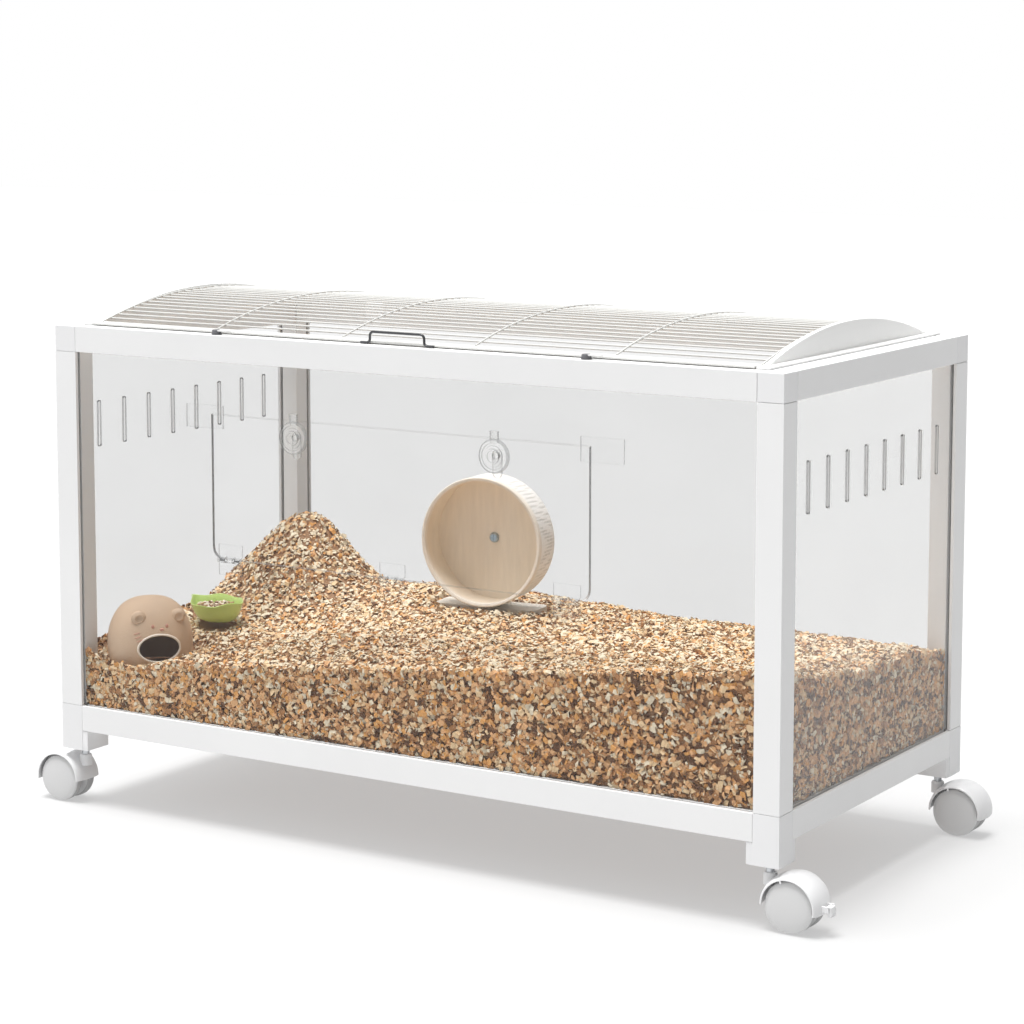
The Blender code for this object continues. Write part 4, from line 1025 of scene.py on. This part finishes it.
def add_flakes(name, rng, places, normals, lengths, tilt, weights):
    """Thousands of curled flakes: each is a bent strip of two faces with uneven corners."""
    count = len(places)
    lean = rng.normal(0.0, tilt, (count, 3))
    normals = normals + lean
    normals /= np.linalg.norm(normals, axis=1, keepdims=True)
    spin = rng.normal(size=(count, 3))
    along = spin - normals * np.sum(spin * normals, axis=1, keepdims=True)
    along /= np.linalg.norm(along, axis=1, keepdims=True)
    across = np.cross(normals, along)
    widths = lengths * rng.uniform(0.35, 0.85, count)
    curl = lengths * rng.uniform(0.05, 0.24, count)
    corners = []
    for step, bend in ((-0.5, 0.0), (0.0, 1.0), (0.5, 0.0)):
        for side in (-0.5, 0.5):
            reach = step + rng.uniform(-0.1, 0.1, count)
            spread = side * rng.uniform(0.55 if step else 0.9, 1.1, count)
            corner = places + along * (lengths * reach)[:, None] + across * (widths * spread)[:, None]
            corners.append(corner + normals * (curl * bend)[:, None])
    points = np.stack(corners, axis=1).reshape(-1, 3)
    points[:, 0] = np.clip(points[:, 0], BED_LOW.x, BED_HIGH.x)
    points[:, 1] = np.clip(points[:, 1], BED_LOW.y, BED_HIGH.y)
    first = np.arange(count)[:, None] * 6
    quads = np.concatenate([first + (0, 2, 3, 1), first + (2, 4, 5, 3)], axis=1).reshape(-1, 4)
    mesh = bpy.data.meshes.new(name)
    mesh.from_pydata(points.tolist(), [], quads.tolist())
    shade = rng.choice(len(FLAKES), count, p=weights)
    mesh.polygons.foreach_set("material_index", np.repeat(shade, 2).astype(np.int32))
    for look in FLAKES:
        mesh.materials.append(look.material)
    made = placed(name, mesh)
    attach(made, "root")


def covered(x, y):
    """True where a furnishing stands on the bedding."""
    return any(in_hollow(hollow, x, y) < 0.97 for hollow in HOLLOWS)


def add_top_flakes(rng):
    """Fine and coarse flakes over the top; a slope keeps more of them, since it has more surface."""
    mixed = (0.5, 0.27, 0.11, 0.05, 0.04, 0.03)        # share of each look in FLAKES
    step, kept_flat = 0.004, 0.55
    sorts = (("flakes_fine", 46000, 0.0028, 0.006), ("flakes_coarse", 13000, 0.005, 0.0095))
    for name, count, low, high in sorts:
        places, normals = [], []
        spots = rng.uniform((BED_LOW.x, BED_LOW.y, 0.0), (BED_HIGH.x, BED_HIGH.y, 1.0), (count, 3))
        for x, y, draw in spots:
            z = bed_height(x, y)
            slope = Vector((z - bed_height(x + step, y), z - bed_height(x, y + step), step)).normalized()
            if covered(x, y) or draw * slope.z > kept_flat:
                continue
            places.append((x, y, z))
            normals.append(slope)
        places = np.array(places) + np.array(normals) * rng.uniform(-0.001, 0.0022, (len(places), 1))
        lengths = rng.uniform(low, high, len(places))
        add_flakes(name, rng, places, np.array(normals), lengths, 0.42, mixed)


def add_side_flakes(rng):
    """Flakes pressed against the clear panels, lying nearly flat on them."""
    # the large share of brown and dark flakes against the panels is partly painted shade of the gaps between
    # flakes
    packed = (0.14, 0.19, 0.27, 0.12, 0.17, 0.11)       # share of each look in FLAKES
    low_z = SHELF_Z + 0.002
    walls = (("front", "x", BED_LOW.y, (0, -1, 0), 9500), ("back", "x", BED_HIGH.y, (0, 1, 0), 7500),
             ("left", "y", BED_LOW.x, (-1, 0, 0), 4600), ("right", "y", BED_HIGH.x, (1, 0, 0), 4600))
    for name, run, face, outward, count in walls:
        start, end = (BED_LOW.x, BED_HIGH.x) if run == "x" else (BED_LOW.y, BED_HIGH.y)
        places = []
        for along, share in rng.uniform((start, 0.0), (end, 1.0), (count, 2)):
            x, y = (along, face) if run == "x" else (face, along)
            places.append((x, y, low_z + (bed_height(x, y) + 0.001 - low_z) * share))
        places = np.array(places) - np.array(outward) * rng.uniform(0.0004, LINING, (count, 1))
        normals = np.tile(np.array(outward, dtype=float), (count, 1))
        lengths = rng.uniform(0.0038, 0.0105, count)
        add_flakes("flakes_" + name, rng, places, normals, lengths, 0.38, packed)


def add_bedding():
    add_bed_body()
    rng = np.random.default_rng(21)
    add_top_flakes(rng)
    add_side_flakes(rng)


# ---------------- stage
def studio_light():
    """White backdrop; its light is stronger from the left and from above than from the right."""
    world = bpy.data.worlds.new("studio")
    world.use_nodes = True
    nodes, links = world.node_tree.nodes, world.node_tree.links
    split = nodes.new("ShaderNodeSeparateXYZ")
    links.new(nodes.new("ShaderNodeTexCoord").outputs["Generated"], split.inputs[0])
    total = nodes.new("ShaderNodeMath")
    for socket, axis, *span in ((0, "X", -0.1, 0.6, 0.86, 0.05), (1, "Z", 0.0, 1.0, 0.0, 0.4)):
        links.new(mapped(world.node_tree, split.outputs[axis], *span), total.inputs[socket])
    backdrop = nodes["Background"]
    backdrop.inputs["Color"].default_value = (1.0, 1.0, 1.0, 1.0)
    lit = nodes.new("ShaderNodeBackground")
    links.new(total.outputs["Value"], lit.inputs["Strength"])
    chosen = nodes.new("ShaderNodeMixShader")
    links.new(nodes.new("ShaderNodeLightPath").outputs["Is Camera Ray"], chosen.inputs["Fac"])
    links.new(lit.outputs["Background"], chosen.inputs[1])
    links.new(backdrop.outputs["Background"], chosen.inputs[2])
    links.new(chosen.outputs["Shader"], nodes["World Output"].inputs["Surface"])
    return world


def add_stage():
    """Pale floor, soft studio light and the camera."""
    floor_look = Look("studio_floor", (0.3, 0.3, 0.3), 0.9, Emission_Strength=0.45)
    floor_look.shader.inputs["Emission Color"].default_value = (1.0, 1.0, 1.0, 1.0)
    floor_look.paint(floor_look.ramp(floor_look.noise(0.8), (0.3, 0.297), (0.7, 0.303)))
    mesh = bpy.data.meshes.new("floor")
    signs = ((-1, -1), (1, -1), (1, 1), (-1, 1))
    corners = [(FLOOR_HALF * sx, FLOOR_HALF * sy, FLOOR_LEVEL) for sx, sy in signs]
    mesh.from_pydata(corners, [], [(0, 1, 2, 3)])
    mesh.materials.append(floor_look.material)
    placed("floor", mesh)
    bpy.context.scene.world = studio_light()

    light = bpy.data.lights.new("overhead", "SUN")
    light.angle = SUN_SPREAD
    light.energy = SUN_ENERGY
    lamp = placed("overhead", light)
    lamp.location = SUN_PLACE
    lamp.rotation_mode = "QUATERNION"
    lamp.rotation_quaternion = (SUN_TARGET - SUN_PLACE).to_track_quat("-Z", "Y")

    camera_data = bpy.data.cameras.new("camera")
    camera_data.lens = CAMERA_LENS
    camera_data.sensor_width = 36.0
    camera_data.shift_y = CAMERA_SHIFT
    camera = placed("camera", camera_data)
    camera.location = CAMERA_PLACE
    camera.rotation_euler = (CAMERA_TILT, 0, CAMERA_HEADING)
    bpy.context.scene.camera = camera
    bpy.context.scene.view_settings.view_transform = "Standard"


add_stage()
add_frame()
add_panels()
add_door_fittings()
add_lid_mesh()
add_end_plates()
add_handle()
add_lid_fittings()
add_casters()
add_running_wheel()
add_bowl()
add_house()
add_bedding()
